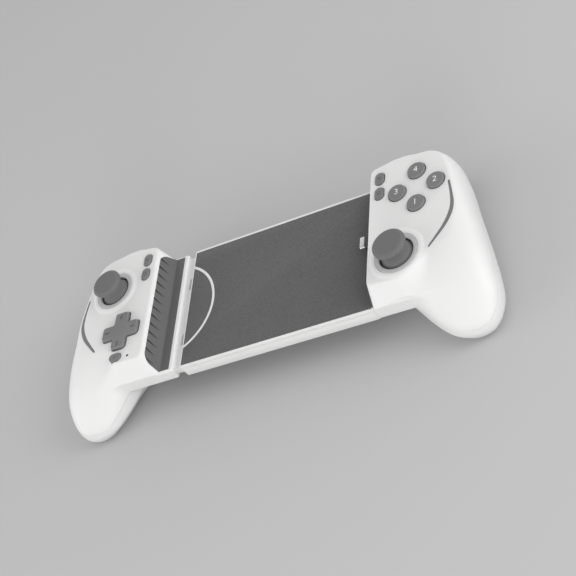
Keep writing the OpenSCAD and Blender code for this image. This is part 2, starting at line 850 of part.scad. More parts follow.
module right_key_mat() color(pale_grey) {
    key_mat_patch(button_place, button_span / 2 + mat_edge);
    key_mat_patch(upper_key_place, key_mat_r);
    key_mat_patch(lower_key_place, key_mat_r);
}
module right_shoulder_bracket() color(pale_grey) shoulder_bracket_solid();
module right_bumper() color(white) bumper_solid();
module right_trigger() color(white) trigger_solid();
module right_trigger_pin() color(steel) trigger_pin_solid();
module right_trigger_spring() color(steel) trigger_spring_solid();
module right_screws() color(steel) handle_screws();

// Plug that enters the phone, and the boot that holds it in the clamp wall and ends in a nose
plug_root_x = fixed_foot_x + wall_lean(false) * plug_z;
plug_tip_x = plug_root_x - plug_len;
plug_root = 4;
plug_wall = 0.35;
plug_bore = 5.5;
plug_cut_out = 3;
plug_cut_in = 6;
boot_len = 5.5;
boot_face = 0.4;
boot_w = plug_w + 3.4;
boot_t = plug_t + 2.6;
nose_grow = 0.8;
module plug_shape(grow)
    for (e = [-1, 1])
        translate([0, e * (plug_w - plug_t) / 2])
            circle(d = plug_t + 2 * grow);
module plug_prism(grow, len)
    rotate([0, 90, 0])
        linear_extrude(len) {
            plug_shape(grow);
            square([plug_t + 2 * grow, plug_w - plug_t], center = true);
        }
module plug_window()
    translate([plug_root_x - plug_cut_out, -boot_w / 2, plug_z - boot_t / 2])
        cube([plug_cut_out + plug_cut_in, boot_w, boot_t]);
module usb_plug() color(steel) translate([plug_tip_x, 0, plug_z]) difference() {
    plug_prism(0, plug_len + plug_root);
    translate([-eps, 0, 0])
        plug_prism(-plug_wall, plug_bore);
}
module usb_plug_boot() color(dark_grey) difference() {
    union() {
        translate([plug_root_x + boot_face, -boot_w / 2, plug_z - boot_t / 2])
            cube([boot_len - boot_face, boot_w, boot_t]);
        translate([plug_tip_x + plug_bare, 0, plug_z])
            plug_prism(nose_grow, plug_len - plug_bare + boot_len);
    }
    translate([plug_tip_x, 0, plug_z])
        plug_prism(0, plug_len + plug_root);
}

// Tray that carries the phone bed
tray_wall = 1.8;
tray_floor = 1.4;
tray_top_t = 2.4;
tray_clear = 0.1;
tab_len = 14;
tab_w = 22;
tab_t = 2.6;
tab_lift = 1.8;
tray_corner = 1;
pad_left_rim = 0.8;
pad_right_x = fixed_foot_x - 0.4;
tongue_y0 = bed_low_y + tray_wall + slide_clear;
tongue_y1 = bed_top_y - tray_wall - slide_clear;
tongue_z = -bed_t + tray_floor + slide_clear;
tongue_h = bed_t - tray_floor - tray_top_t - 2 * slide_clear;
tongue_top = tongue_z + tongue_h;
tongue_root = 10;
tongue_x0 = -base_end_x - tongue_root;
tongue_x1 = tray_left_x + slide_travel + tongue_grip;
tongue_bridge_x = tray_left_x + tongue_grip;
spring_y = 26;
spring_len = 34;
spring_r = 1.6;
spring_wire = 0.6;
spring_turns = 10;
post_d = 3;
cable_w = 10;
cable_room = 0.8;
notch_in = 2;
notch_out = 0.6;
spring_gap = 0.3;
cable_t = 0.3;
cable_top_z = -3.7;
cable_low_z = -6.5;
module tray_room() {
    translate([0, bed_low_y - 1, -bed_t - 1]) {
        cube([tray_right_x + tray_clear, bed_top_y - bed_low_y + 2, bed_t + 1]);
        translate([0, bed_mid_y - bed_low_y + 1 - tab_w / 2 - tray_clear, 1 + tab_lift - tray_clear])
            cube([tray_right_x + tab_len + 1, tab_w + 2 * tray_clear, tab_t + 2 * tray_clear]);
    }
    translate([0, bed_mid_y - cable_w / 2 - cable_room, cable_top_z - cable_room])
        cube([tray_right_x + tab_len, cable_w + 2 * cable_room, 2 * cable_room]);
}

module tray_block(inset, z0, z1)
    hull()
        for (x = [tray_left_x + inset + tray_corner, tray_right_x - inset - tray_corner],
            y = [bed_low_y + inset + tray_corner, bed_top_y - inset - tray_corner])
            translate([x, y, z0])
                cylinder(r = tray_corner, h = z1 - z0, $fn = 24);

module pad_area(over)
    translate([tray_left_x + pad_left_rim, bed_low_y + pad_rim, -pad_t])
        cube([pad_right_x - tray_left_x - pad_left_rim, bed_top_y - bed_low_y - 2 * pad_rim, pad_t + over]);

tray_screw_end = 9;
tray_screw_side = 7;
tray_boss_step = 2;
tray_screw_bite = 0.6;
tray_screw_places = [for (x = [tongue_x1 + tray_screw_end, tray_right_x - tray_screw_end],
    y = [bed_low_y + tray_screw_side, bed_top_y - tray_screw_side]) [x, y]];
module tray_upper() color(white) difference() {
    union() {
        tray_block(0, -tray_top_t, 0);
        for (p = tray_screw_places)
            translate([p[0], p[1], tray_floor - bed_t + tray_boss_step])
                cylinder(d = boss_d, h = bed_t - tray_floor - tray_boss_step - tray_top_t + eps);
    }
    pad_area(eps);
    for (p = tray_screw_places)
        translate([p[0], p[1], -bed_t])
            cylinder(d = screw_d + 2 * screw_clear, h = bed_t - tray_top_t + tray_screw_bite);
}
module tray_lower() color(white) difference() {
    union() {
        difference() {
            tray_block(0, -bed_t, -tray_top_t);
            translate([0, 0, tray_floor])
                tray_block(tray_wall, -bed_t, 0);
            translate([tray_left_x - tray_wall, bed_low_y + tray_wall, -bed_t + tray_floor])
                cube([2 * tray_wall + tray_corner, bed_top_y - bed_low_y - 2 * tray_wall, bed_t]);
            translate([tray_right_x - 2 * tray_wall, bed_mid_y - cable_w / 2 - cable_room,
                cable_top_z - cable_room])
                cube([4 * tray_wall, cable_w + 2 * cable_room, bed_t]);
        }
        translate([tray_right_x - eps, bed_mid_y - tab_w / 2, -bed_t + tab_lift])
            cube([tab_len, tab_w, tab_t]);
        for (p = tray_screw_places)
            translate([p[0], p[1], -bed_t])
                cylinder(d = boss_d + boss_step, h = tray_floor + tray_boss_step);
        for (s = [-1, 1])
            translate([tongue_x1 + spring_len, bed_mid_y + s * spring_y, -bed_t])
                cylinder(d = post_d, h = bed_t - tray_top_t);
    }
    for (p = tray_screw_places)
        translate([p[0], p[1], -bed_t - eps]) {
            cylinder(d = screw_d + 2 * screw_clear, h = bed_t);
            cylinder(d = screw_head_d + 2 * screw_clear, h = eps + screw_head_h);
        }
}
module tray_pad() color(dark_grey) difference() {
    pad_area(0);
    ring_inlay(eps);
}
ring_depth = 0.4;
module ring_inlay(over)
    intersection() {
        translate([ring_place[0], ring_place[1], -ring_depth])
            difference() {
                cylinder(r = ring_r + ring_w / 2, h = ring_depth + over, $fn = 128);
                translate([0, 0, -ring_depth])
                    cylinder(r = ring_r - ring_w / 2, h = big, $fn = 128);
            }
        pad_area(over);
    }
module tray_ring() color(white) ring_inlay(0);
module tray_screws() color(steel)
    for (p = tray_screw_places)
        translate([p[0], p[1], -bed_t]) {
            cylinder(d = screw_head_d, h = screw_head_h);
            cylinder(d = screw_d, h = bed_t - tray_top_t);
        }

// Tongue of the sliding handle: a plate at the base and two legs that run inside the tray
module slide_tongue() color(white) difference() {
    translate([tongue_x0, tongue_y0, tongue_z])
        cube([tongue_x1 - tongue_x0, tongue_y1 - tongue_y0, tongue_h]);
    translate([tongue_bridge_x, bed_mid_y - channel_w / 2, -bed_t])
        cube([big, channel_w, bed_t]);
    translate([-big, bed_mid_y - channel_w / 2, -bed_t])
        cube([2 * big, channel_w, bed_t + cable_low_z + cable_room]);
    for (s = [-1, 1])
        translate([-base_end_x + notch_in, bed_mid_y + s * notch_y - notch_w / 2, tongue_top - notch_depth])
            cube([slide_gap - notch_in - notch_out, notch_w, bed_t]);
}
module return_springs() color(steel)
    for (s = [-1, 1])
        translate([tongue_x1 + spring_gap + spring_wire / 2, bed_mid_y + s * spring_y,
            tongue_z + tongue_h / 2])
            coil(spring_r, spring_wire, spring_turns,
                (spring_len - post_d / 2 - 2 * spring_gap - spring_wire) / spring_turns, 8, 6);

// Flat cable folded inside the tray, from the left board's side to the right handle
cable_mid_z = (cable_top_z + cable_low_z) / 2;
cable_fold_right = 44;
cable_fold_left = tongue_bridge_x + 3;
cable_end_gap = 0.3;
cable_left_x = -board_x0 + cable_end_gap;
cable_right_x = board_x0 - cable_end_gap;
module cable_run(x0, x1, z) translate([x0, z - cable_t / 2]) square([x1 - x0, cable_t]);
module cable_fold(x, z, right)
    translate([x, z])
        intersection() {
            difference() {
                circle(d = (cable_top_z - cable_low_z) / 2 + cable_t);
                circle(d = (cable_top_z - cable_low_z) / 2 - cable_t);
            }
            translate([right ? 0 : -bed_t, -bed_t])
                square([bed_t, 2 * bed_t]);
        }
module flex_cable() color("darkorange")
    translate([0, bed_mid_y + cable_w / 2, 0])
        rotate([90, 0, 0])
            linear_extrude(cable_w) {
                cable_run(cable_left_x, cable_fold_right, cable_low_z);
                cable_fold(cable_fold_right, (cable_low_z + cable_mid_z) / 2, true);
                cable_run(cable_fold_left, cable_fold_right, cable_mid_z);
                cable_fold(cable_fold_left, (cable_top_z + cable_mid_z) / 2, false);
                cable_run(cable_fold_left, cable_right_x, cable_top_z);
            }

// Sub-parts of the left handle
module left_front_shell() color(white) on_side(-1) front_shell(true, left_board_bosses) {
    key_window(upper_key_place, 0);
    key_window(lower_key_place, 0);
    key_window(menu_key_place, 90);
    stick_window(left_stick_place);
    translate([dpad_place[0], dpad_place[1], face_under - window_cut])
        linear_extrude(wall + 2 * window_cut)
            dpad_shape(dpad_clear);
    translate([dpad_place[0], dpad_place[1], board_top])
        cylinder(d = dpad_span + 4 * dpad_clear, h = face_under - board_top);
    translate([light_place[0], light_place[1], face_under - window_cut])
        cylinder(d = light_d, h = wall + 2 * window_cut);
    tongue_slot();
}
module left_rear_shell() color(white) on_side(-1) rear_shell(true) tongue_slot();
module tongue_slot()
    translate([base_end_x - 1, tongue_y0, tongue_z])
        cube([tongue_root + 1, tongue_y1 - tongue_y0, tongue_h]);
module left_clamp_liner() color(mid_grey) on_side(-1) clamp_liner_solid(true, true);
module left_accent_strip() color(mid_grey) on_side(-1) accent_band(0);
module left_stick_ring() color(pale_grey) on_side(-1) stick_ring_solid(left_stick_place);
module left_stick_frame() color(steel) on_side(-1) at_stick(left_stick_place) stick_frame_solid();
module left_stick_yoke() color(dark_grey) on_side(-1) at_stick(left_stick_place) stick_yoke_solid();
module left_stick_hub() color(dark_grey) on_side(-1) at_stick(left_stick_place) stick_hub_solid();
module left_stick_cap() color(mid_grey) on_side(-1) at_stick(left_stick_place) stick_cap_solid();

// Direction pad on a crossed pivot
dpad_clear = 0.7;
dpad_tip_bow = 1.2;
dpad_under = 2.3;
dpad_pivot_z = face_h - 3.4;
dpad_arm_len = 6;
dpad_lug_t = 2;
dpad_lug_low = 2;
dpad_lug_mid = dpad_arm_len - dpad_lug_t / 2;
dpad_groove_in = 5;
dpad_groove_len = 3.4;
dpad_groove_w = 1;
dpad_groove_depth = 0.5;
cradle_w = 8;
cradle_t = 2;
cradle_over = 1.4;
dpad_pin_d = 2.2;
module at_dpad() on_side(-1) translate([dpad_place[0], dpad_place[1], dpad_pivot_z]) children();
module dpad() color(mid_grey) at_dpad() difference() {
    union() {
        translate([0, 0, dpad_under])
            linear_extrude(face_h - dpad_pivot_z - dpad_under + dpad_h)
                dpad_shape(0);
        for (s = [-1, 1])
            translate([-dpad_pin_d, s * dpad_lug_mid - dpad_lug_t / 2, -dpad_lug_low])
                cube([2 * dpad_pin_d, dpad_lug_t, dpad_lug_low + dpad_under + eps]);
    }
    rotate([90, 0, 0])
        cylinder(d = dpad_pin_d + 2 * pin_clear, h = dpad_span, center = true);
    for (a = [0 : 90 : 270])
        rotate(a)
            translate([dpad_span / 2 - dpad_groove_in, -dpad_groove_w / 2,
                face_h - dpad_pivot_z + dpad_h - dpad_groove_depth])
                cube([dpad_groove_len, dpad_groove_w, 2 * dpad_groove_depth]);
}
module dpad_pivot() color(steel) at_dpad()
    for (a = [0, 90])
        rotate([90, 0, a])
            cylinder(d = dpad_pin_d, h = 2 * dpad_arm_len, center = true);
module dpad_cradle() color(dark_grey) at_dpad() difference() {
    union() {
        for (s = [-1, 1])
            translate([s * dpad_lug_mid - dpad_lug_t / 2, -dpad_pin_d, board_top - dpad_pivot_z])
                cube([dpad_lug_t, 2 * dpad_pin_d, dpad_pivot_z - board_top + cradle_over]);
        translate([-dpad_arm_len, -cradle_w / 2, board_top - dpad_pivot_z])
            cube([2 * dpad_arm_len, cradle_w, cradle_t]);
    }
    rotate([0, 90, 0])
        cylinder(d = dpad_pin_d + 2 * pin_clear, h = dpad_span, center = true);
}

light_d = 1.8;
light_fit = 0.05;
light_sink = 0.3;
module left_upper_key() color(mid_grey) on_side(-1) small_key(upper_key_place, 0);
module left_lower_key() color(mid_grey) on_side(-1) small_key(lower_key_place, 0);
module left_menu_key() color(mid_grey) on_side(-1) small_key(menu_key_place, 90);
module left_light_pipe() color("dimgray") on_side(-1)
    translate([light_place[0], light_place[1], board_top])
        cylinder(d = light_d - 2 * light_fit, h = face_h - light_sink - board_top);
module left_board() color(board_green) on_side(-1) board_solid();
module left_key_mat() color(pale_grey) on_side(-1) {
    key_mat_patch(upper_key_place, key_mat_r);
    key_mat_patch(lower_key_place, key_mat_r);
    key_mat_patch(menu_key_place, key_mat_r);
}
module left_shoulder_bracket() color(pale_grey) on_side(-1) shoulder_bracket_solid();
module left_bumper() color(white) on_side(-1) bumper_solid();
module left_trigger() color(white) on_side(-1) trigger_solid();
module left_trigger_pin() color(steel) on_side(-1) trigger_pin_solid();
module left_trigger_spring() color(steel) on_side(-1) trigger_spring_solid();
module left_screws() color(steel) on_side(-1) handle_screws();

placed() right_front_shell();
placed() right_rear_shell();
placed() right_clamp_liner();
placed() right_accent_strip();
placed() right_stick_ring();
placed() right_stick_frame();
placed() right_stick_yoke();
placed() right_stick_hub();
placed() right_stick_cap();
placed() button_top();
placed() button_right();
placed() button_bottom();
placed() button_left();
placed() right_upper_key();
placed() right_lower_key();
placed() right_board();
placed() right_key_mat();
placed() right_shoulder_bracket();
placed() right_bumper();
placed() right_trigger();
placed() right_trigger_pin();
placed() right_trigger_spring();
placed() right_screws();
placed() usb_plug();
placed() usb_plug_boot();
placed() tray_upper();
placed() tray_lower();
placed() tray_pad();
placed() tray_ring();
placed() tray_screws();
placed() slide_tongue();
placed() return_springs();
placed() flex_cable();
placed() left_front_shell();
placed() left_rear_shell();
placed() left_clamp_liner();
placed() left_accent_strip();
placed() left_stick_ring();
placed() left_stick_frame();
placed() left_stick_yoke();
placed() left_stick_hub();
placed() left_stick_cap();
placed() dpad();
placed() dpad_pivot();
placed() dpad_cradle();
placed() left_upper_key();
placed() left_lower_key();
placed() left_menu_key();
placed() left_light_pipe();
placed() left_board();
placed() left_key_mat();
placed() left_shoulder_bracket();
placed() left_bumper();
placed() left_trigger();
placed() left_trigger_pin();
placed() left_trigger_spring();
placed() left_screws();
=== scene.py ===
import json
import math

import bmesh
import bpy
import numpy as np
from mathutils import Matrix, Vector

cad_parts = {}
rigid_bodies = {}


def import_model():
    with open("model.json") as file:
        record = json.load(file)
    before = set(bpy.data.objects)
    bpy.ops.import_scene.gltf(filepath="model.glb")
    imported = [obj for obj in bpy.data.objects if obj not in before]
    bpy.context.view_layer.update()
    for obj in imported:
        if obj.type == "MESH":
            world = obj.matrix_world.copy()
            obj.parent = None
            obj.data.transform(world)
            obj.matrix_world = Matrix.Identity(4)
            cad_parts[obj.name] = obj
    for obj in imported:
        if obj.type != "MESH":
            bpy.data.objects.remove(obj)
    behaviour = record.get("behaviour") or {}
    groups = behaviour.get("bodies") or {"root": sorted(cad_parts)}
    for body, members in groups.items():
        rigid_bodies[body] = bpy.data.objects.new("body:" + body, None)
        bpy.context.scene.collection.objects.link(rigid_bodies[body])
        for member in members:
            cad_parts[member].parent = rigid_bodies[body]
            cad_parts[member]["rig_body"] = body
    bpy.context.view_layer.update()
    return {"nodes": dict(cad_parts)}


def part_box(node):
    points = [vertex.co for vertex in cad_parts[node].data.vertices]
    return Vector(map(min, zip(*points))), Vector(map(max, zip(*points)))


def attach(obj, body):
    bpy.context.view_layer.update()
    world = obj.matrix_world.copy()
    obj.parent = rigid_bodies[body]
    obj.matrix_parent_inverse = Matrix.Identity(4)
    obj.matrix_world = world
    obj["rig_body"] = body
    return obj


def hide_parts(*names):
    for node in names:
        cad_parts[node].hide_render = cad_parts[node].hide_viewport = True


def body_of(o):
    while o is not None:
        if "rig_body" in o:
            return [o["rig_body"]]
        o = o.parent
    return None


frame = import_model()
nodes = frame["nodes"]

# Every size below is in millimetres, counted as in the part's source: x from the mid-plane, y from the
# bed's own zero line, z from the top of the phone bed. Both handles are modelled at positive x.
MM = 0.001
BED_LOW_Y = -46.0
BED_TOP_Y = 42.0
BED_T = 9.0
ORIGIN = Vector((0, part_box("tray_upper")[0].y - BED_LOW_Y * MM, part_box("tray_pad")[1].z))
BACK_Z = -ORIGIN.z / MM

FACE_H = 11.5
WALL = 2.0
FACE_UNDER = FACE_H - WALL
FACE_INNER_X = 77.0
FOOT_X = {"right": 75.0, "left": 69.5}
END_LEAN = 0.65
TOP_LEAN = 4.2 / FACE_H
BASE_END_X = 60.5
LEDGE_BACK_X = 80.0
BLOCK_FOOT_X = 112.0
BLOCK_OUTER_LEAN = 14 / FACE_H

STICK_PLACE = {"right": (95.5, -22.0), "left": (106.5, 20.0)}
BUTTON_PLACE = (107.0, 21.7)
BUTTON_SPAN = 24.0
BUTTON_D = 10.8
BUTTON_H = 1.5
DPAD_PLACE = (95.6, -14.3)
UPPER_KEY_PLACE = (83.4, 37.0)
LOWER_KEY_PLACE = (83.4, 25.8)
MENU_KEY_PLACE = (96.5, -33.6)
LIGHT_PLACE = (87.4, -34.3)
LIGHT_R = 0.95
KEY_W = 5.5
KEY_LEN = 8.6
KEY_H = 1.0
CONTROL_GAP = 0.35

# Sections of a handle from its top end to its tip, as in the part's source:
# y, inner x, outer x, top z, bottom z, and the height where it is widest
HANDLE_ROWS = np.array([
    [47.6, 87, 112, 13.5, -6, 2.5],
    [46, 82, 119.5, 15.5, -10, 0.5],
    [40, 78, 127, 17, -17, -3],
    [25, 77, 132.6, 17.5, -25.5, -5],
    [5, 77, 136.9, 17.5, -29, -6.6],
    [-12, 78, 140.6, 14, -30, -8.6],
    [-24, 81.5, 143, 11.5, -30.5, -10.5],
    [-36, 90, 144.8, 7.6, -30.5, -13.5],
    [-47, 99, 145.4, 2, -30.5, -16.5],
    [-56, 107, 143.2, -5, -29.5, -18.5],
    [-62, 114, 139.4, -11, -27.5, -19.8],
    [-65, 119.8, 135, -15.3, -24.8, -20.4],
    [-66, 123.4, 131.6, -17.8, -22.8, -20.6]])[::-1]

# How square the sections are, on top, outside and inside, and inside at the grip below the head
BULGE_TOP = 2.66
BULGE_OUTER = 2.1
BULGE_INNER = 1.8
BULGE_GRIP_INNER = 1.35
GRIP_Y = (-42, -22)

# Reaches over which edges of the handle are rounded
HEAD_ROUND = 4
TIP_ROUND = 3
BACK_ROUND = 4
BLOCK_ROUND = 4
BLOCK_FOOT_ROUND = 1.2
LEDGE_EDGE = 1
LEDGE_CORNER = 1.4
LEDGE_RIM = 1.6
WALL_CREASE = 0.8
FACE_CREASE = 0.7

# The clamp block's blend into the grip, which widens between two heights
BLEND_Z = (-8, 3)
BLEND_REACH = (2.5, 7)

# The wall under the bed: the rise within which it steps out below the tray, and by how much
UNDER_RISE = 0.6
UNDER_REACH = {"right": 6, "left": 0}

# Centre line of the accent strip seen from the front: x, y and width
ACCENT_PATH = ((127, 18.5, 1.1), (128.4, 9, 1.4), (128.9, 1.5, 2), (127.7, -5, 2.4), (124.3, -12, 2.2),
    (119.5, -18.3, 1.7), (115, -23.7, 1.1))
ACCENT_PARTS = 3
ACCENT_T = 1.0
ACCENT_GAP = 0.12

# Seam between front and rear shells: level at the head, falling towards the tip
SEAM_Z = -6.0
SEAM_TURN_Y = -38.0
SEAM_TIP = (-67.0, -17.0)
SEAM_GAP = 0.24

SCREW_PLACES = ((86, 14), (124, 9), (133, -47))
SCREW_SEAT = -17.0
SCREW_HEAD_D = 4.4
SCREW_D = 2.2


def at(x, y, z):
    """A point of the part, in Blender's metres."""
    return ORIGIN + Vector((x, y, z)) * MM


# Modelling by hand: selection, modifiers and booleans

# Metres within which two places count as one
TOUCH = 1e-6


def activate(piece):
    """Makes one object the only selected and the active one, in object mode."""
    if bpy.context.object and bpy.context.object.mode != "OBJECT":
        bpy.ops.object.mode_set(mode="OBJECT")
    bpy.ops.object.select_all(action="DESELECT")
    piece.select_set(True)
    bpy.context.view_layer.objects.active = piece


def edit(piece, mode="FACE", action="DESELECT"):
    """Opens a piece in edit mode with nothing or all of it selected, and gives its bmesh."""
    activate(piece)
    bpy.ops.object.mode_set(mode="EDIT")
    bpy.ops.mesh.select_mode(type=mode)
    bpy.ops.mesh.select_all(action=action)
    return bmesh.from_edit_mesh(piece.data)


def face_outwards():
    """Turns every face of the mesh in edit mode outwards."""
    bpy.ops.mesh.select_all(action="SELECT")
    bpy.ops.mesh.normals_make_consistent(inside=False)


def merge_doubles():
    """Merges the points of the mesh in edit mode that lie on each other."""
    bpy.ops.mesh.select_all(action="SELECT")
    bpy.ops.mesh.remove_doubles(threshold=TOUCH)


def pick(piece, kind, test):
    """Selects the edges or faces of the piece in edit mode that pass a test."""
    mesh = edit(piece, "EDGE" if kind == "edges" else "FACE")
    mesh.normal_update()
    for part in getattr(mesh, kind):
        if test(part):
            part.select_set(True)
    bmesh.update_edit_mesh(piece.data)


def done(piece, angle=35):
    """Leaves edit mode and shades the piece smooth up to an angle."""
    activate(piece)
    bpy.ops.object.shade_smooth_by_angle(angle=math.radians(angle))
    return piece


def modify(piece, kind, **settings):
    """Adds one modifier and applies it."""
    activate(piece)
    modifier = piece.modifiers.new(kind.title(), kind)
    for name, value in settings.items():
        setattr(modifier, name, value)
    bpy.ops.object.modifier_apply(modifier=modifier.name)


def combine(piece, other, operation="DIFFERENCE"):
    """Cuts, joins or trims a piece with another closed mesh, which is used up."""
    modify(piece, "BOOLEAN", object=other, operation=operation, solver="MANIFOLD")
    bpy.data.objects.remove(other)
    return piece


def round_edges(piece, width, segments=3, angle=35):
    """Rounds all edges that are sharper than an angle."""
    modify(piece, "BEVEL", width=width * MM, segments=segments, limit_method="ANGLE",
        angle_limit=math.radians(angle), miter_outer="MITER_ARC")
    return piece


def duplicate(piece, name):
    """A copy with its own mesh."""
    copy = bpy.data.objects.new(name, piece.data.copy())
    bpy.context.scene.collection.objects.link(copy)
    return copy


def join(piece, *others):
    """Makes several meshes one piece."""
    activate(piece)
    for other in others:
        other.select_set(True)
    bpy.ops.object.join()
    return piece


def settle_place(piece):
    """Moves an object's place, turn and scale into its mesh."""
    activate(piece)
    bpy.ops.object.transform_apply(location=True, rotation=True, scale=True)
    return piece


def block(name, low, high):
    """A box between two corners."""
    bpy.ops.object.select_all(action="DESELECT")
    low, high = at(*low), at(*high)
    bpy.ops.mesh.primitive_cube_add(size=1, location=(low + high) / 2)
    piece = bpy.context.object
    piece.name = name
    piece.scale = high - low
    return settle_place(piece)


def rod(name, start, end, radius, vertices=48, end_radius=None):
    """A round bar between two points, with an optional other radius at its end."""
    bpy.ops.object.select_all(action="DESELECT")
    start, end = at(*start), at(*end)
    bpy.ops.mesh.primitive_cone_add(vertices=vertices, radius1=radius * MM,
        radius2=(radius if end_radius is None else end_radius) * MM, depth=(end - start).length,
        location=(start + end) / 2, rotation=(end - start).to_track_quat("Z", "Y").to_euler())
    piece = bpy.context.object
    piece.name = name
    return settle_place(piece)


def drawn(name, points, lines=(), faces=()):
    """A mesh from points in millimetres, with lines or faces between them."""
    mesh = bpy.data.meshes.new(name)
    mesh.from_pydata([at(*map(float, p)) for p in points], list(lines), [list(map(int, f)) for f in faces])
    mesh.update()
    piece = bpy.data.objects.new(name, mesh)
    bpy.context.scene.collection.objects.link(piece)
    return piece


def arc(centre, radius, first, last, count=6):
    """Points of an arc in a profile, with angles in degrees."""
    turns = [math.radians(first + (last - first) * i / count) for i in range(count + 1)]
    return [(centre[0] + radius * math.cos(a), centre[1] + radius * math.sin(a)) for a in turns]


def lathe(name, place, profile, steps=96):
    """Spins a profile of (radius, height) points about an upright axis through a place."""
    count = len(profile)
    piece = drawn(name, [(place[0] + r, place[1], z) for r, z in profile],
        lines=[(i, i + 1) for i in range(count - 1)])
    edit(piece, "EDGE", "SELECT")
    bpy.ops.mesh.spin(steps=steps, angle=2 * math.pi, center=at(*place, 0), axis=(0, 0, 1))
    merge_doubles()
    face_outwards()
    return done(piece)


def extruded(name, outline, shift):
    """Pushes a flat outline of points along a shift, into a closed solid."""
    piece = drawn(name, outline, faces=[range(len(outline))])
    edit(piece, action="SELECT")
    bpy.ops.mesh.extrude_region_move(TRANSFORM_OT_translate={"value": Vector(shift) * MM})
    face_outwards()
    activate(piece)
    return piece


# Degrees up to which two CAD faces count as one, and past which an edge of them counts as sharp
FLAT_ANGLE = 0.5
SHARP_ANGLE = 40


def softened(node, width, segments=2):
    """A copy of a CAD node with its sharp edges rounded."""
    piece = duplicate(nodes[node], node + "_form")
    piece.data.materials.clear()
    edit(piece)
    merge_doubles()
    bpy.ops.mesh.dissolve_limited(angle_limit=math.radians(FLAT_ANGLE))
    activate(piece)
    round_edges(piece, width, segments, SHARP_ANGLE)
    return done(piece, SHARP_ANGLE)


# Handle form: a distance field meshed on a grid, because its creases run out into blends no bevel gives

# Keeps divisions away from nought
TINY = 1e-3


def soft_max(a, b, reach):
    """The larger of two distances, with the crease between them rounded over a reach."""
    near = np.maximum(reach - np.abs(a - b), 0)
    return np.maximum(a, b) + near * near / (4 * reach)


def soft_min(a, b, reach):
    """The smaller of two distances, with the valley between them filled over a reach."""
    return -soft_max(-a, -b, reach)


def section_at(y):
    """Inner x, outer x, top z, bottom z and widest z of the handle on a smooth curve through its rows."""
    rows = HANDLE_ROWS
    count = len(rows)
    y = np.clip(y, rows[0, 0], rows[-1, 0])
    i = np.clip(np.searchsorted(rows[:, 0], y) - 1, 0, count - 2)
    before, after = np.maximum(np.arange(count) - 1, 0), np.minimum(np.arange(count) + 1, count - 1)
    slope = (rows[after] - rows[before]) / (rows[after, :1] - rows[before, :1])
    p, q = rows[i], rows[i + 1]
    d = (q[..., 0] - p[..., 0])[..., None]
    t = ((y - p[..., 0]) / d[..., 0])[..., None]
    value = p * (1 + 2 * t) * (1 - t) ** 2 + q * t * t * (3 - 2 * t)
    value = value + d * slope[i] * t * (1 - t) ** 2 - d * slope[i + 1] * t * t * (1 - t)
    return [value[..., c] for c in range(1, 6)]


def grip_field(x, y, z):
    """Rounded grip and head: a squared oval swept along the handle's sections."""
    inner_x, outer_x, top, bottom, widest = section_at(y)
    half_w, dx, dz = (outer_x - inner_x) / 2, x - (inner_x + outer_x) / 2, z - widest
    half_h = np.where(dz > 0, top - widest, widest - bottom)
    inner = np.interp(y, GRIP_Y, (BULGE_GRIP_INNER, BULGE_INNER))
    bulge = np.where(dz > 0, BULGE_TOP, np.where(dx > 0, BULGE_OUTER, inner))
    u, w = np.abs(dx) / half_w, np.abs(dz) / half_h
    scale = np.maximum((u ** bulge + w ** bulge) ** (1 / bulge), TINY)
    steep = np.hypot((u / scale) ** (bulge - 1) / half_w, (w / scale) ** (bulge - 1) / half_h)
    body = soft_max((scale - 1) / np.maximum(steep, TINY), y - HANDLE_ROWS[-1, 0], HEAD_ROUND)
    return soft_max(body, HANDLE_ROWS[0, 0] - y, TIP_ROUND)


def wall_lean(side):
    """How far a clamp wall leans back for each millimetre of height."""
    return (FACE_INNER_X - FOOT_X[side]) / FACE_H


def wall_x(side, z):
    """Where a clamp wall stands at a height."""
    return FOOT_X[side] + wall_lean(side) * z


def clamp_wall_field(x, z, side):
    """Plane of a clamp wall, upright below the bed, where the fixed handle runs on into the tray."""
    under = np.clip(-z / UNDER_RISE, 0, 1) * UNDER_REACH[side]
    return (wall_x(side, np.maximum(z, 0)) - under - x) / math.hypot(1, wall_lean(side))


def clamp_block_field(x, y, z, side):
    """Block that carries the clamp wall and the lower edge of the face."""
    up = np.maximum(z, 0)
    inner = clamp_wall_field(x, z, side)
    chin = (BED_LOW_Y + END_LEAN * up - y) / math.hypot(1, END_LEAN)
    top = (y - BED_TOP_Y - TOP_LEAN * up) / math.hypot(1, TOP_LEAN)
    outer = (x - BLOCK_FOOT_X + BLOCK_OUTER_LEAN * up) / math.hypot(1, BLOCK_OUTER_LEAN)
    body = soft_max(soft_max(inner, chin, BLOCK_ROUND), top, BLOCK_ROUND)
    return soft_max(soft_max(body, outer, BLOCK_ROUND), -BED_T - z, BLOCK_FOOT_ROUND)


def ledge_field(x, y, z):
    """Flat base that the sliding handle stands on, beside the tray."""
    along = soft_max(BASE_END_X - x, x - LEDGE_BACK_X, LEDGE_EDGE)
    across = soft_max(BED_LOW_Y - y, y - BED_TOP_Y, LEDGE_EDGE)
    up = soft_max(-BED_T - z, z, LEDGE_EDGE)
    return soft_max(soft_max(along, across, LEDGE_CORNER), up, LEDGE_RIM)


# Collar that carries a stick ring where the face falls away
COLLAR_R = 16.2
COLLAR_H = 8.0
COLLAR_LEAN = 0.6
COLLAR_BLEND = 4


def collar_field(x, y, z, side):
    """Cone round a stick, widening downwards."""
    place = STICK_PLACE[side]
    reach = np.hypot(x - place[0], y - place[1]) - COLLAR_R - COLLAR_LEAN * (FACE_H - z)
    return np.maximum(reach / math.hypot(1, COLLAR_LEAN), FACE_H - COLLAR_H - z)


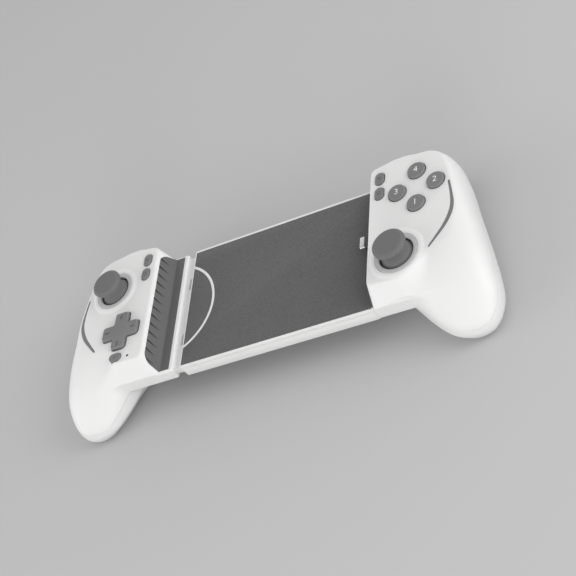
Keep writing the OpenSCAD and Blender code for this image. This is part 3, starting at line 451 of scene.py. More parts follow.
# Soft swells and hollows of the faces: radius of the flat middle, outer radius and height
STICK_SWELL = (14.4, 17.6, 0.8)
BUTTON_HOLLOW = (8, 20, -0.4)
DPAD_HOLLOW = (12, 19, -0.3)
SWELLS = {
    "right": ((STICK_PLACE["right"], STICK_SWELL), (BUTTON_PLACE, BUTTON_HOLLOW)),
    "left": ((STICK_PLACE["left"], STICK_SWELL), (DPAD_PLACE, DPAD_HOLLOW))}


def face_lift(x, y, side):
    """Height of a face over its level, from its swells and hollows."""
    lift = 0
    for place, (flat, reach, height) in SWELLS[side]:
        s = np.clip((reach - np.hypot(x - place[0], y - place[1])) / (reach - flat), 0, 1)
        lift = lift + height * s * s * (3 - 2 * s)
    return lift


def handle_field(x, y, z, side, swells=True):
    """Distance to the skin of a whole handle, with or without the swells of its face."""
    blend = np.interp(z, BLEND_Z, BLEND_REACH)
    body = soft_min(grip_field(x, y, z), clamp_block_field(x, y, z, side), blend)
    body = soft_min(body, collar_field(x, y, z, side), COLLAR_BLEND)
    body = soft_max(body, clamp_wall_field(x, z, side), WALL_CREASE)
    if side == "left":
        body = np.minimum(body, ledge_field(x, y, z))
    lift = face_lift(x, y, side) if swells else 0
    return soft_max(soft_max(body, z - FACE_H - lift, FACE_CREASE), BACK_Z - z, BACK_ROUND)


def smooth_path(points, parts):
    """More points on a smooth curve through the given ones."""
    points = np.array(points, float)
    ends = np.concatenate([2 * points[:1] - points[1:2], points, 2 * points[-1:] - points[-2:-1]])
    found = []
    for a, b, c, d in zip(ends, ends[1:], ends[2:], ends[3:]):
        for t in np.arange(parts) / parts:
            found.append(b + t * (c - a) / 2 + t * t * (a - 2.5 * b + 2 * c - d / 2)
                + t ** 3 * (1.5 * (b - c) + (d - a) / 2))
    return found + [points[-1]]


def accent_field(x, y):
    """Distance to the accent strip's outline, seen from the front."""
    best = np.full(np.broadcast(x, y).shape, np.inf)
    path = smooth_path(ACCENT_PATH, ACCENT_PARTS)
    for (ax, ay, aw), (bx, by, bw) in zip(path, path[1:]):
        t = ((x - ax) * (bx - ax) + (y - ay) * (by - ay)) / ((bx - ax) ** 2 + (by - ay) ** 2)
        t = np.clip(t, 0, 1)
        gap = np.hypot(x - ax - t * (bx - ax), y - ay - t * (by - ay)) - (aw + t * (bw - aw)) / 2
        best = np.minimum(best, gap)
    return best


def grid_cells(field, low, high, step):
    """Grid cells that the field's surface passes, one point in each, and the faces between them."""
    axes = [np.arange(low[i], high[i] + step, step) for i in range(3)]
    value = field(*np.meshgrid(*axes, indexing="ij"))
    inside = value < 0
    shape = tuple(n - 1 for n in value.shape)
    first = inside[:-1, :-1, :-1]
    mixed = np.zeros(shape, bool)
    for corner in np.ndindex(2, 2, 2):
        mixed |= inside[tuple(slice(c, c + n) for c, n in zip(corner, shape))] != first
    cells = np.argwhere(mixed)
    number = np.full(shape, -1)
    number[tuple(cells.T)] = np.arange(len(cells))
    total, count = np.zeros((len(cells), 3)), np.zeros(len(cells))
    faces = []
    for axis in range(3):
        a, b = (d for d in range(3) if d != axis)
        for da, db in np.ndindex(2, 2):
            near = cells.copy()
            near[:, a] += da
            near[:, b] += db
            far = near.copy()
            far[:, axis] += 1
            f0, f1 = value[tuple(near.T)], value[tuple(far.T)]
            cut = (f0 < 0) != (f1 < 0)
            point = near.astype(float)
            point[:, axis] += np.where(cut, f0 / np.where(cut, f0 - f1, 1), 0)
            total += np.where(cut[:, None], point, 0)
            count += cut
        start = np.take(inside, range(shape[axis]), axis)
        end = np.take(inside, range(1, shape[axis] + 1), axis)
        crossed = np.argwhere(start != end)
        loops = []
        for da, db in ((-1, -1), (0, -1), (0, 0), (-1, 0)):
            cell = crossed.copy()
            cell[:, a] += da
            cell[:, b] += db
            loops.append(number[tuple(cell.T)])
        loops = np.array(loops).T
        forward = start[tuple(crossed.T)] != (axis == 1)
        faces.append(np.where(forward[:, None], loops, loops[:, ::-1]))
    return total / count[:, None] * step + np.array(low), np.concatenate(faces)


# How the points of a grid are moved onto the field: rounds, the step for slopes, and the least slope
SETTLE_ROUNDS = 3
SLOPE_STEP = 0.02
LEAST_SLOPE = 0.05


def field_piece(name, field, low, high, step):
    """Meshes the surface of a field, with every point moved onto it by half a step a round at most."""
    points, faces = grid_cells(field, low, high, step)
    shifts = SLOPE_STEP * np.eye(3)
    for _ in range(SETTLE_ROUNDS):
        rises = [field(*(points + shift).T) - field(*(points - shift).T) for shift in shifts]
        steep = np.stack(rises, 1) / (2 * SLOPE_STEP)
        move = field(*points.T)[:, None] * steep / np.maximum((steep ** 2).sum(1), LEAST_SLOPE)[:, None]
        size = np.maximum(np.linalg.norm(move, axis=1), TINY)
        points = points - move * np.minimum(1, 0.5 * step / size)[:, None]
    return drawn(name, points, faces=faces)


# Cutters for the windows in the faces, with a small rounded lip

LIP = 0.3
LIP_ANGLES = (0, 30, 60, 90)
WINDOW_DEPTH = 8
WINDOW_RISE = 4


def lipped(outline, z_face):
    """A cutter for a window: the outline's solid, flared where it meets the face."""
    count = len(outline)
    ring = np.array(outline)
    along = np.roll(ring, -1, 0) - np.roll(ring, 1, 0)
    normal = np.stack([along[:, 1], -along[:, 0]], 1) / np.linalg.norm(along, axis=1)[:, None]
    flare = [(-LIP + LIP * math.sin(a), LIP - LIP * math.cos(a)) for a in np.radians(LIP_ANGLES)]
    levels = [(-WINDOW_DEPTH, 0)] + flare + [(WINDOW_RISE, LIP)]
    points = [(*p, z_face + z) for z, grow in levels for p in ring + normal * grow]
    faces = [range(count)[::-1], range(count * (len(levels) - 1), count * len(levels))]
    for level in range(len(levels) - 1):
        for i in range(count):
            j = (i + 1) % count
            a, b = level * count, (level + 1) * count
            faces.append((a + i, a + j, b + j, b + i))
    return drawn("window_cutter", points, faces=faces)


def circle_outline(place, radius, count=96):
    """Outline of a round window."""
    return [(place[0] + dx, place[1] + dy) for dx, dy in arc((0, 0), radius, 0, 360, count)[:-1]]


def slot_outline(place, width, length, upright=True):
    """Outline of a small key: two half circles and the straight stretches between them."""
    radius, reach = width / 2, (length - width) / 2
    points = arc((0, reach), radius, 0, 180, 16) + arc((0, -reach), radius, 180, 360, 16)
    return [(place[0] + (x if upright else -y), place[1] + (y if upright else x)) for x, y in points]


# Right, up, left and down, as the arms of the direction pad point
QUARTERS = ((1, 0), (0, 1), (-1, 0), (0, -1))
DPAD_SPAN = 26.2
DPAD_ARM = 9.6
DPAD_GAP = 0.7
DPAD_TIP_R = 1.8
DPAD_CROOK_R = 1.2


def cross_outline(place, grow):
    """Outline of the direction pad with rounded tips and crooks."""
    reach, half = DPAD_SPAN / 2 + grow, DPAD_ARM / 2 + grow
    tip, crook = DPAD_TIP_R + grow, DPAD_CROOK_R - grow / 2
    quarter = arc((reach - tip, half - tip), tip, 0, 90, 5)
    quarter += arc((half + crook, half + crook), crook, 270, 180, 5)
    quarter += arc((half - tip, reach - tip), tip, 0, 90, 5)
    points = []
    for c, s in QUARTERS:
        points += [(place[0] + c * x - s * y, place[1] + s * x + c * y) for x, y in quarter]
    return points


# Clamp liners

LINER_T = 1.6
LINER_TOP_Z = 9.1
LINER_END = 1.5
LINER_LEDGE_X = 63.1
LINER_FILLET = 1.6
LINER_CORNER_R = 4.5
LINER_EDGE = 0.3
LINER_GAP = 0.05
GROOVE_COUNT = 13
GROOVE_W = 1.4
GROOVE_LEN = 7.4
GROOVE_DEPTH = 1.25
GROOVE_SLANT = 0.6
GROOVE_FIRST = 3.0
GROOVE_SPARE = 10.0
GROOVE_OVER = 2.0
GROOVE_RUN_OUT = 0.05
LINER_Y = (BED_LOW_Y + LINER_END, BED_TOP_Y - LINER_END)


def liner_block(side):
    """Rubber strip on a clamp wall, run into the ledge by a fillet on the sliding handle."""
    low, high = LINER_Y
    slope = math.degrees(math.atan2(1, wall_lean(side)))
    foot, top_x = FOOT_X[side], wall_x(side, LINER_TOP_Z)
    profile = [(top_x, LINER_TOP_Z), (top_x + LINER_T, LINER_TOP_Z)]
    if side == "left":
        reach = LINER_FILLET * math.tan(math.radians(slope / 2))
        profile += [(foot + LINER_T / 2, -LINER_T), (LINER_LEDGE_X, -LINER_T), (LINER_LEDGE_X, 0)]
        profile += arc((foot - reach, LINER_FILLET), LINER_FILLET, 270, 270 + slope, 8)
    else:
        profile += [(foot + LINER_T, 0), (foot, 0)]
    piece = extruded(f"{side}_clamp_liner_form", [(x, low, z) for x, z in profile], (0, high - low, 0))
    edit(piece, action="SELECT")
    bpy.ops.mesh.bisect(plane_co=at(0, low, 0), plane_no=Vector((0, -1, END_LEAN)).normalized(),
        use_fill=True, clear_outer=True)
    face_outwards()
    top = at(0, 0, LINER_TOP_Z).z - TOUCH
    ends = (at(0, high, 0).y - TOUCH, at(0, low + END_LEAN * LINER_TOP_Z, 0).y + TOUCH)
    pick(piece, "edges", lambda e: all(v.co.z > top for v in e.verts)
        and (all(v.co.y > ends[0] for v in e.verts) or all(v.co.y < ends[1] for v in e.verts)))
    bevel_picked(LINER_CORNER_R, 10)
    activate(piece)
    return piece


def cut_grooves(piece, side):
    """Slanted grooves from the wall's upper edge that run out towards the valley."""
    down = Vector((-wall_lean(side), 0, -1)).normalized() + Vector((0, -GROOVE_SLANT, 0))
    out = Vector((-1, 0, wall_lean(side))).normalized()
    spacing = (LINER_Y[1] - LINER_Y[0] - GROOVE_SPARE) / (GROOVE_COUNT - 1)
    wedges = []
    for i in range(GROOVE_COUNT):
        y = LINER_Y[1] - GROOVE_FIRST - i * spacing
        top = Vector((wall_x(side, LINER_TOP_Z), y - GROOVE_W / 2, LINER_TOP_Z))
        above = top - down * GROOVE_OVER
        profile = (above - out * GROOVE_DEPTH, top - out * GROOVE_DEPTH,
            top + down * GROOVE_LEN + out * GROOVE_RUN_OUT, above + out)
        wedges.append(extruded("groove", profile, (0, GROOVE_W, 0)))
    return combine(piece, join(*wedges))


def finish_liner(liner, side):
    """Soft edges and grooves of a liner, and the room for the plug in the fixed handle's one."""
    round_edges(liner, LINER_EDGE)
    cut_grooves(liner, side)
    if side == "right":
        combine(liner, block("plug_room", *PLUG_ROOM))
    return done(liner)


# Handle shells

BAY_X = (86.5, 123.5)
BAY_WALL = 0.8
SHELF_Z = -1.4
TRIGGER_BAY_Y = 37.4
BUMPER_BAY_Y = 41.2
BUMPER_BAY_END = 120.9
BUMPER_TOP = 7.5
TONGUE_Y = (-43.9, 39.9)
TONGUE_Z = (-7.3, -2.7)
NOTCH_X = (-58.8, -55.4)
NOTCH_Y = (19.0, -23.0)
NOTCH_W = 8.4
NOTCH_DEPTH = 2.4
TRAY_RIGHT_X = 75.7
PLUG_ROOM = ((72.7, -5.85, 1.7), (81.5, 5.85, 6.7))
BOSS_R = 4.0
BOSS_H = 6.0
RING_D = 26.2

# Gaps and overlaps of the cutters, and how far they go past what they cut
BUMPER_SIDE_GAP = 0.6
BUMPER_TOP_GAP = 0.3
SCREW_GAP = 0.1
RING_GAP = 0.1
OVERLAP = 0.02
PAST = 1.0
SLOT_DEPTH = 10.0
FAR = 160.0

# Grids on which the fields are meshed: their steps and corners
SKIN_STEP = 0.6
CAVITY_STEP = 1.2
CHANNEL_STEP = 0.4
STRIP_STEP = 0.35
SKIN_BOX = ((60, -69, -31), (149, 51, 14))
STRIP_BOX = ((112, -27, -4), (134, 22, 14))

# Degrees up to which a shell is shaded smooth
SHELL_ANGLE = 30


def seam_solid(shift):
    """Everything in front of the seam, moved up or down by a shift."""
    points = [(FAR, SEAM_Z), (SEAM_TURN_Y, SEAM_Z), SEAM_TIP, (-FAR, SEAM_TIP[1]), (-FAR, FAR), (FAR, FAR)]
    return extruded("seam", [(0, y, z + shift) for y, z in points], (FAR, 0, 0))


def screw_rods(top, radius):
    """Bars at a handle's screws, from below up to a height."""
    return join(*(rod("screw_rod", (*place, -FAR), (*place, top), radius) for place in SCREW_PLACES))


def handle_cavity(side):
    """Hollow of a handle, without the room that the shoulder bay and the screw bosses take."""
    cavity = field_piece("cavity", lambda x, y, z: handle_field(x, y, z, side, False) + WALL,
        *SKIN_BOX, CAVITY_STEP)
    combine(cavity, block("bay_walls", (BAY_X[0] - BAY_WALL, TRIGGER_BAY_Y - WALL, -FAR),
        (BAY_X[1] + BAY_WALL, FAR, SHELF_Z)))
    return combine(cavity, screw_rods(SCREW_SEAT + BOSS_H, BOSS_R))


def liner_recess(liner):
    """Cutter for the bed of a liner, a little larger than the liner."""
    recess = duplicate(liner, "liner_recess")
    edit(recess, action="SELECT")
    bpy.ops.transform.shrink_fatten(value=LINER_GAP * MM)
    activate(recess)
    return recess


# Accent strip and its channel: how far they lie below and above the skin, and the rounding of their edges
STRIP_SINK = 0.03
STRIP_ROUND = 0.25
CHANNEL_UNDER = 0.1
CHANNEL_ABOVE = 1.5
CHANNEL_ROUND = 0.2


def skin_band(name, side, grow, above, below, rounding, step):
    """A band under the accent strip's outline, from above the skin to below it."""
    def band(x, y, z):
        skin = handle_field(x, y, z, side)
        return soft_max(accent_field(x, y) - grow, np.maximum(skin - above, -skin - below), rounding)

    return field_piece(name, band, *STRIP_BOX, step)


def handle_shells(side):
    """Front and rear shell of one handle, with the liner and the accent strip that are let into it."""
    skin = field_piece(f"{side}_front_shell_form", lambda x, y, z: handle_field(x, y, z, side),
        *SKIN_BOX, SKIN_STEP)
    combine(skin, handle_cavity(side))
    combine(skin, block("bumper_bay", (BAY_X[0] - BUMPER_SIDE_GAP, BUMPER_BAY_Y, SHELF_Z),
        (BUMPER_BAY_END, FAR, BUMPER_TOP + BUMPER_TOP_GAP)))
    combine(skin, block("trigger_bay", (BAY_X[0], TRIGGER_BAY_Y, -FAR), (BAY_X[1], FAR, SHELF_Z + OVERLAP)))
    combine(skin, screw_rods(SCREW_SEAT, SCREW_HEAD_D / 2 + SCREW_GAP))
    if side == "left":
        combine(skin, block("tongue_slot", (BASE_END_X - PAST, TONGUE_Y[0], TONGUE_Z[0]),
            (BASE_END_X + SLOT_DEPTH, TONGUE_Y[1], TONGUE_Z[1])))
    else:
        combine(skin, block("tray_room", (0, BED_LOW_Y - PAST, -BED_T - PAST),
            (TRAY_RIGHT_X, BED_TOP_Y + PAST, OVERLAP)))
        combine(skin, block("plug_room", *PLUG_ROOM))
    liner = liner_block(side)
    combine(skin, liner_recess(liner))
    rear = duplicate(skin, f"{side}_rear_shell_form")
    combine(skin, seam_solid(SEAM_GAP / 2), "INTERSECT")
    combine(rear, seam_solid(-SEAM_GAP / 2))
    combine(skin, join(*(lipped(outline, FACE_H + height) for outline, height in windows(side))))
    combine(skin, skin_band("accent_groove", side, ACCENT_GAP, CHANNEL_ABOVE, ACCENT_T + CHANNEL_UNDER,
        CHANNEL_ROUND, CHANNEL_STEP))
    strip = skin_band(f"{side}_accent_strip_form", side, 0, -STRIP_SINK, ACCENT_T, STRIP_ROUND, STRIP_STEP)
    for piece in (skin, rear, strip):
        done(piece, SHELL_ANGLE)
    return skin, rear, liner, strip


BUTTON_TURNS = {"button_top": (0, 1), "button_right": (1, 0), "button_bottom": (0, -1),
    "button_left": (-1, 0)}

# Heights of the face, over its level, at the windows in its swells and hollows
STICK_FACE = STICK_SWELL[-1]
BUTTON_FACE = -0.26
DPAD_FACE = -0.25


def button_place(name):
    """Place of a face button, on the ends of a cross."""
    return tuple(middle + turn * BUTTON_SPAN / 2 for middle, turn in zip(BUTTON_PLACE, BUTTON_TURNS[name]))


def windows(side):
    """Outline and face height of each window in a face."""
    key_size = (KEY_W + 2 * CONTROL_GAP, KEY_LEN + 2 * CONTROL_GAP)
    found = [(circle_outline(STICK_PLACE[side], RING_D / 2 + RING_GAP), STICK_FACE)]
    for place in (UPPER_KEY_PLACE, LOWER_KEY_PLACE):
        found.append((slot_outline(place, *key_size), 0))
    if side == "right":
        for name in BUTTON_TURNS:
            found.append((circle_outline(button_place(name), BUTTON_D / 2 + CONTROL_GAP), BUTTON_FACE))
    else:
        found.append((slot_outline(MENU_KEY_PLACE, *key_size, False), 0))
        found.append((cross_outline(DPAD_PLACE, DPAD_GAP), DPAD_FACE))
        found.append((circle_outline(LIGHT_PLACE, LIGHT_R, 32), 0))
    return found


# Controls

LEGENDS = {"button_top": "4", "button_right": "2", "button_bottom": "1", "button_left": "3"}
LEGEND_SIZE = 5.6
LEGEND_T = 0.03
BUTTON_STEM_Z = 0.2
BUTTON_STEM_R = 2.0
FLANGE_OUT = 0.9
FLANGE_Z = (8.4, 9.2)
BUTTON_EDGE = 0.55
BUTTON_CROWN = 0.07
BUTTON_FLAT_IN = 1.25


def button(name):
    """Round face button with a soft edge, its flange and stem below, and a printed number."""
    place, radius, top = button_place(name), BUTTON_D / 2, FACE_H + BUTTON_H
    profile = [(0, BUTTON_STEM_Z), (BUTTON_STEM_R, BUTTON_STEM_Z), (BUTTON_STEM_R, FLANGE_Z[0]),
        (radius + FLANGE_OUT, FLANGE_Z[0]), (radius + FLANGE_OUT, FLANGE_Z[1]), (radius, FLANGE_Z[1])]
    profile += arc((radius - BUTTON_EDGE, top - BUTTON_EDGE - BUTTON_CROWN), BUTTON_EDGE, 0, 75, 6)
    profile += [(radius - BUTTON_FLAT_IN, top), (0, top)]
    return lathe(name + "_form", place, profile), legend(name, place, top)


def legend(name, place, top):
    """Number printed on a button."""
    bpy.ops.object.select_all(action="DESELECT")
    bpy.ops.object.text_add(location=at(*place, top))
    text = bpy.context.object
    text.name = name + "_number"
    text.data.body = LEGENDS[name]
    text.data.size = LEGEND_SIZE * MM
    text.data.extrude = LEGEND_T * MM
    text.data.align_x = text.data.align_y = "CENTER"
    bpy.ops.object.convert(target="MESH")
    return settle_place(bpy.context.object)


KEY_EDGE = 0.5
KEY_END = 0.995
UPWARD = 0.9


def bevel_picked(width, segments):
    """Rounds the edges that are selected in edit mode."""
    bpy.ops.mesh.bevel(offset=width * MM, segments=segments, affect="EDGES")


def round_top(piece, width):
    """Rounds the edge of a piece's flat top."""
    pick(piece, "faces", lambda f: f.normal.z > UPWARD)
    bpy.ops.mesh.region_to_loop()
    bevel_picked(width, 5)
    activate(piece)


def small_key(name, place, upright=True):
    """Capsule key with a soft edge."""
    wide, long = (KEY_W, KEY_LEN) if upright else (KEY_LEN, KEY_W)
    piece = block(name + "_form", (place[0] - wide / 2, place[1] - long / 2, FLANGE_Z[1]),
        (place[0] + wide / 2, place[1] + long / 2, FACE_H + KEY_H))
    pick(piece, "edges", lambda e: abs(e.verts[0].co.z - e.verts[1].co.z) > 10 * TOUCH)
    bevel_picked(KEY_W / 2 * KEY_END, 14)
    round_top(piece, KEY_EDGE)
    return done(piece)


STICK_DOME_R = 12.8
DOME_LOW = 7.4
DOME_T = 1.6
PIVOT_Z = 2.5
CAP_R = 10.0
CAP_UNDER = 15.6
CAP_T = 4.4
NECK_R = 4.6
STEM_R = 2.05
STEM_DEPTH = 2.4

# Rounds of the cap: the neck's foot and fillet, the disc's edge below and above, and its hollow top
NECK_FOOT = 1.4
NECK_FILLET = 1.6
NECK_FILLET_DROP = 2.3
DISC_UNDER_IN = 2.6
DISC_UNDER_SAG = 0.1
DISC_LOW_R = 2.2
DISC_TOP_R = 1.75
DISC_TOP_IN = 2.4
DISC_FLAT_IN = 4.0
DISC_HOLLOW = (0.02, 0.12)


def stick_cap(side):
    """Rubber stick cap: a wide disc with a rounded edge on a neck and a dome."""
    low = math.degrees(math.asin(DOME_LOW / STICK_DOME_R))
    inner_r, top = STICK_DOME_R - DOME_T, CAP_UNDER + CAP_T
    inner_low = math.degrees(math.asin(DOME_LOW / inner_r))
    neck = math.degrees(math.acos((NECK_R + NECK_FOOT) / STICK_DOME_R))
    inner_end = math.degrees(math.acos(STEM_R / inner_r))
    profile = [(STEM_R, CAP_UNDER + STEM_DEPTH)]
    profile += arc((0, 0), inner_r, inner_end, inner_low, 12)
    profile += arc((0, 0), STICK_DOME_R, low, neck, 14)
    profile += arc((NECK_R + NECK_FILLET, CAP_UNDER - NECK_FILLET_DROP), NECK_FILLET, 230, 110, 8)
    profile += [(CAP_R - DISC_UNDER_IN, CAP_UNDER - DISC_UNDER_SAG)]
    profile += arc((CAP_R - DISC_LOW_R, CAP_UNDER + DISC_LOW_R), DISC_LOW_R, 285, 385, 12)
    profile += arc((CAP_R - DISC_TOP_IN, top - DISC_TOP_R), DISC_TOP_R, 35, 80, 8)
    profile += [(CAP_R - DISC_FLAT_IN, top - DISC_HOLLOW[0]), (0, top - DISC_HOLLOW[1])]
    profile += [(0, CAP_UNDER + STEM_DEPTH), profile[0]]
    profile = [(r, z + PIVOT_Z) for r, z in profile]
    return lathe(f"{side}_stick_cap_form", STICK_PLACE[side], profile)


RING_HOLE_R = 10.6
RING_LIP = 0.85
RING_T = 1.0
RING_WALL = 0.8
RING_INNER_EDGE = 0.5
RING_OUTER_EDGE = 0.4


def stick_ring(side):
    """Ring let into the face around a stick, with a rounded upper edge and a flange below."""
    outer, top, under = RING_D / 2, FACE_H + RING_LIP, FACE_H - RING_T
    edge, rim = RING_INNER_EDGE, RING_OUTER_EDGE
    profile = [(RING_HOLE_R, under), (RING_HOLE_R, top - edge)]
    profile += arc((RING_HOLE_R + edge, top - edge), edge, 180, 90, 5)
    profile += arc((outer - rim, top - rim), rim, 90, 0, 5)
    profile += [(outer, FACE_UNDER), (outer + RING_T, FACE_UNDER), (outer + RING_T, FACE_UNDER - RING_T),
        (outer - RING_WALL, FACE_UNDER - RING_T), (outer - RING_WALL, under), (RING_HOLE_R, under)]
    return lathe(f"{side}_stick_ring_form", STICK_PLACE[side], profile)


DPAD_H = 2.0
DPAD_LOW_Z = 10.4
DPAD_PIVOT_Z = 8.1
DPAD_PIN_R = 1.15
DPAD_LUG_AT = 5.0
DPAD_LUG_HALF = (2.2, 1.0)
DPAD_LUG_Z = (6.1, DPAD_LOW_Z + 0.1)
DPAD_BORE_REACH = 8.0
DPAD_EDGE = 0.8
DPAD_DISH_R = 60.0
DPAD_DISH = 0.6
DPAD_GROOVE_AT = 9.7
DPAD_GROOVE_HALF = (2.1, 0.65, 0.95)
DPAD_GROOVE_RISE = 0.1


def ball(place, radius, segments, rings):
    """A sphere about a place, not yet settled."""
    bpy.ops.object.select_all(action="DESELECT")
    bpy.ops.mesh.primitive_uv_sphere_add(segments=segments, ring_count=rings, radius=radius,
        location=at(*place))
    return bpy.context.object


def direction_pad():
    """Cross with rounded edges, a dished middle, a short groove on each arm and two lugs for the pivot."""
    x, y = DPAD_PLACE
    top = FACE_H + DPAD_H
    outline = [(*p, DPAD_LOW_Z) for p in cross_outline(DPAD_PLACE, 0)]
    piece = extruded("dpad_form", outline, (0, 0, top - DPAD_LOW_Z))
    round_top(piece, DPAD_EDGE)
    combine(piece, settle_place(ball((x, y, top + DPAD_DISH_R - DPAD_DISH), DPAD_DISH_R * MM, 160, 120)))
    grooves = []
    for c, s in QUARTERS:
        groove = ball((x + c * DPAD_GROOVE_AT, y + s * DPAD_GROOVE_AT, top + DPAD_GROOVE_RISE), 1, 32, 24)
        long, wide, deep = DPAD_GROOVE_HALF
        groove.scale = Vector((long if c else wide, long if s else wide, deep)) * MM
        grooves.append(settle_place(groove))
    combine(piece, join(*grooves))
    hx, hy = DPAD_LUG_HALF
    for lug_y in (y - DPAD_LUG_AT, y + DPAD_LUG_AT):
        lug = block("lug", (x - hx, lug_y - hy, DPAD_LUG_Z[0]), (x + hx, lug_y + hy, DPAD_LUG_Z[1]))
        combine(piece, lug, "UNION")
    low, high = (x, y - DPAD_BORE_REACH, DPAD_PIVOT_Z), (x, y + DPAD_BORE_REACH, DPAD_PIVOT_Z)
    combine(piece, rod("pivot_bore", low, high, DPAD_PIN_R))
    return done(piece)


SHOULDER_PLACE = (95.5, 2.0)
BUMPER_X = (86.7, 122.7)
BUMPER_BACK = 43.2
BUMPER_LOW = 0.3
BUMPER_REACH = 48.0
BUMPER_PIVOT = (89.5, 45.4)
BUMPER_BORE_R = 1.3
BUMPER_EDGE = 0.9
BUMPER_ROOF = 1.0


def trim_to_shoulder(piece, reach):
    """Trims a piece to the round outline of the shoulder, seen from the front."""
    outline = rod("shoulder", (*SHOULDER_PLACE, -FAR), (*SHOULDER_PLACE, FAR), reach, 256)
    return combine(piece, outline, "INTERSECT")


def bumper(side):
    """Curved bar above the trigger, on an upright pin."""
    piece = block(f"{side}_bumper_form", (BUMPER_X[0], BUMPER_BACK, BUMPER_LOW),
        (BUMPER_X[1], FAR, BUMPER_TOP))
    round_edges(trim_to_shoulder(piece, BUMPER_REACH), BUMPER_EDGE, 4)
    bore_top = BUMPER_TOP - BUMPER_ROOF
    combine(piece, rod("pin_bore", (*BUMPER_PIVOT, -FAR), (*BUMPER_PIVOT, bore_top), BUMPER_BORE_R))
    return done(piece)


TRIGGER_X = (89.0, 121.0)
TRIGGER_PIVOT = (42.0, -6.0)
TRIGGER_OUT = ((37.5, -14.0), 18.5)
TRIGGER_IN = ((35.5, -16.5), 14.6)
TRIGGER_Z = (-23.0, -2.6)
TRIGGER_REACH = 54.0
TRIGGER_HUB_R = 3.2
TRIGGER_BORE_R = 1.55
TRIGGER_SLOT = 7.0
TRIGGER_EDGE = 1.1
PLATE_START = 0.5

# Arm between hub and finger plate, counted from the trigger's ends and its pivot
ARM_IN = (1.2, 4.0)
ARM_Z = (-0.6, 2.6)
ARM_REACH = 8.0


def cross_rod(name, place, radius, vertices=192, x=TRIGGER_X):
    """A bar along x through a (y, z) place."""
    return rod(name, (x[0], *place), (x[1], *place), radius, vertices)


def trigger(side):
    """Hollowed finger plate on a hub, with a slot for its spring."""
    wide = (TRIGGER_X[0] - PAST, TRIGGER_X[1] + PAST)
    pivot_y, pivot_z = TRIGGER_PIVOT
    piece = block(f"{side}_trigger_form", (TRIGGER_X[0], pivot_y + PLATE_START, TRIGGER_Z[0]),
        (TRIGGER_X[1], FAR, TRIGGER_Z[1]))
    combine(piece, cross_rod("outer_curve", *TRIGGER_OUT, x=wide), "INTERSECT")
    combine(piece, cross_rod("inner_curve", *TRIGGER_IN, x=wide))
    round_edges(trim_to_shoulder(piece, TRIGGER_REACH), TRIGGER_EDGE, 4)
    combine(piece, block("arm", (TRIGGER_X[0] + ARM_IN[0], pivot_y, pivot_z + ARM_Z[0]),
        (TRIGGER_X[1] - ARM_IN[1], pivot_y + ARM_REACH, pivot_z + ARM_Z[1])), "UNION")
    combine(piece, cross_rod("hub", TRIGGER_PIVOT, TRIGGER_HUB_R, 64), "UNION")
    combine(piece, cross_rod("bore", TRIGGER_PIVOT, TRIGGER_BORE_R, 48, wide))
    middle = (TRIGGER_X[0] + TRIGGER_X[1]) / 2
    slot = (middle - TRIGGER_SLOT / 2, middle + TRIGGER_SLOT / 2)
    combine(piece, cross_rod("spring_slot", TRIGGER_PIVOT, TRIGGER_HUB_R + PAST, 64, slot))
    return done(piece)


SCREW_HEAD_T = 1.6
SCREW_SHAFT = 15.0
SCREW_EDGE = 0.5
CROSS_LEN = 2.5
CROSS_W = 0.55
CROSS_DEPTH = 0.9


def handle_screws(side):
    """Pan head screws of a handle with a cross recess, seen from the back."""
    name = f"{side}_screws_form"
    head_z, tip_z = SCREW_SEAT - SCREW_HEAD_T, SCREW_SEAT + SCREW_SHAFT
    radius, shaft_r, edge = SCREW_HEAD_D / 2, SCREW_D / 2, SCREW_EDGE
    profile = [(0, head_z), (radius - edge, head_z)] + arc((radius - edge, head_z + edge), edge, 270, 360, 4)
    profile += [(radius, SCREW_SEAT), (shaft_r, SCREW_SEAT), (shaft_r, tip_z - edge), (shaft_r - edge, tip_z),
        (0, tip_z)]
    screws = []
    for x, y in SCREW_PLACES:
        screw = lathe(name, (x, y), profile, 40)
        for wide, tall in ((CROSS_LEN, CROSS_W), (CROSS_W, CROSS_LEN)):
            combine(screw, block("recess", (x - wide / 2, y - tall / 2, head_z - PAST),
                (x + wide / 2, y + tall / 2, head_z + CROSS_DEPTH)))
        screws.append(screw)
    return done(join(*screws))


# Materials

class Wire:
    """An output of a shader node that can be used in arithmetic."""

    def __init__(self, graph, socket):
        self.graph = graph
        self.socket = socket

    def math(self, operation, first, second):
        """A Math node on two wires or numbers."""
        return self.graph.node("ShaderNodeMath", {"operation": operation}, {0: first, 1: second})

    def __add__(self, other):
        return self.math("ADD", self, other)

    __radd__ = __add__

    def __sub__(self, other):
        return self.math("SUBTRACT", self, other)

    def __rsub__(self, other):
        return self.math("SUBTRACT", other, self)

    def __mul__(self, other):
        return self.math("MULTIPLY", self, other)

    __rmul__ = __mul__

    def __pow__(self, other):
        return self.math("POWER", self, other)


class Graph:
    """A node tree, and one way to add nodes to it."""

    def __init__(self, tree):
        self.tree = tree

    def node(self, kind, settings=None, sockets=None, output=0):
        """Adds a node with its settings, then the values or wires of its sockets, and gives one output."""
        made = self.tree.nodes.new(kind)
        for name, value in (settings or {}).items():
            setattr(made, name, value)
        for name, value in (sockets or {}).items():
            if isinstance(value, Wire):
                self.tree.links.new(value.socket, made.inputs[name])
            else:
                made.inputs[name].default_value = value
        return Wire(self, made.outputs[output])


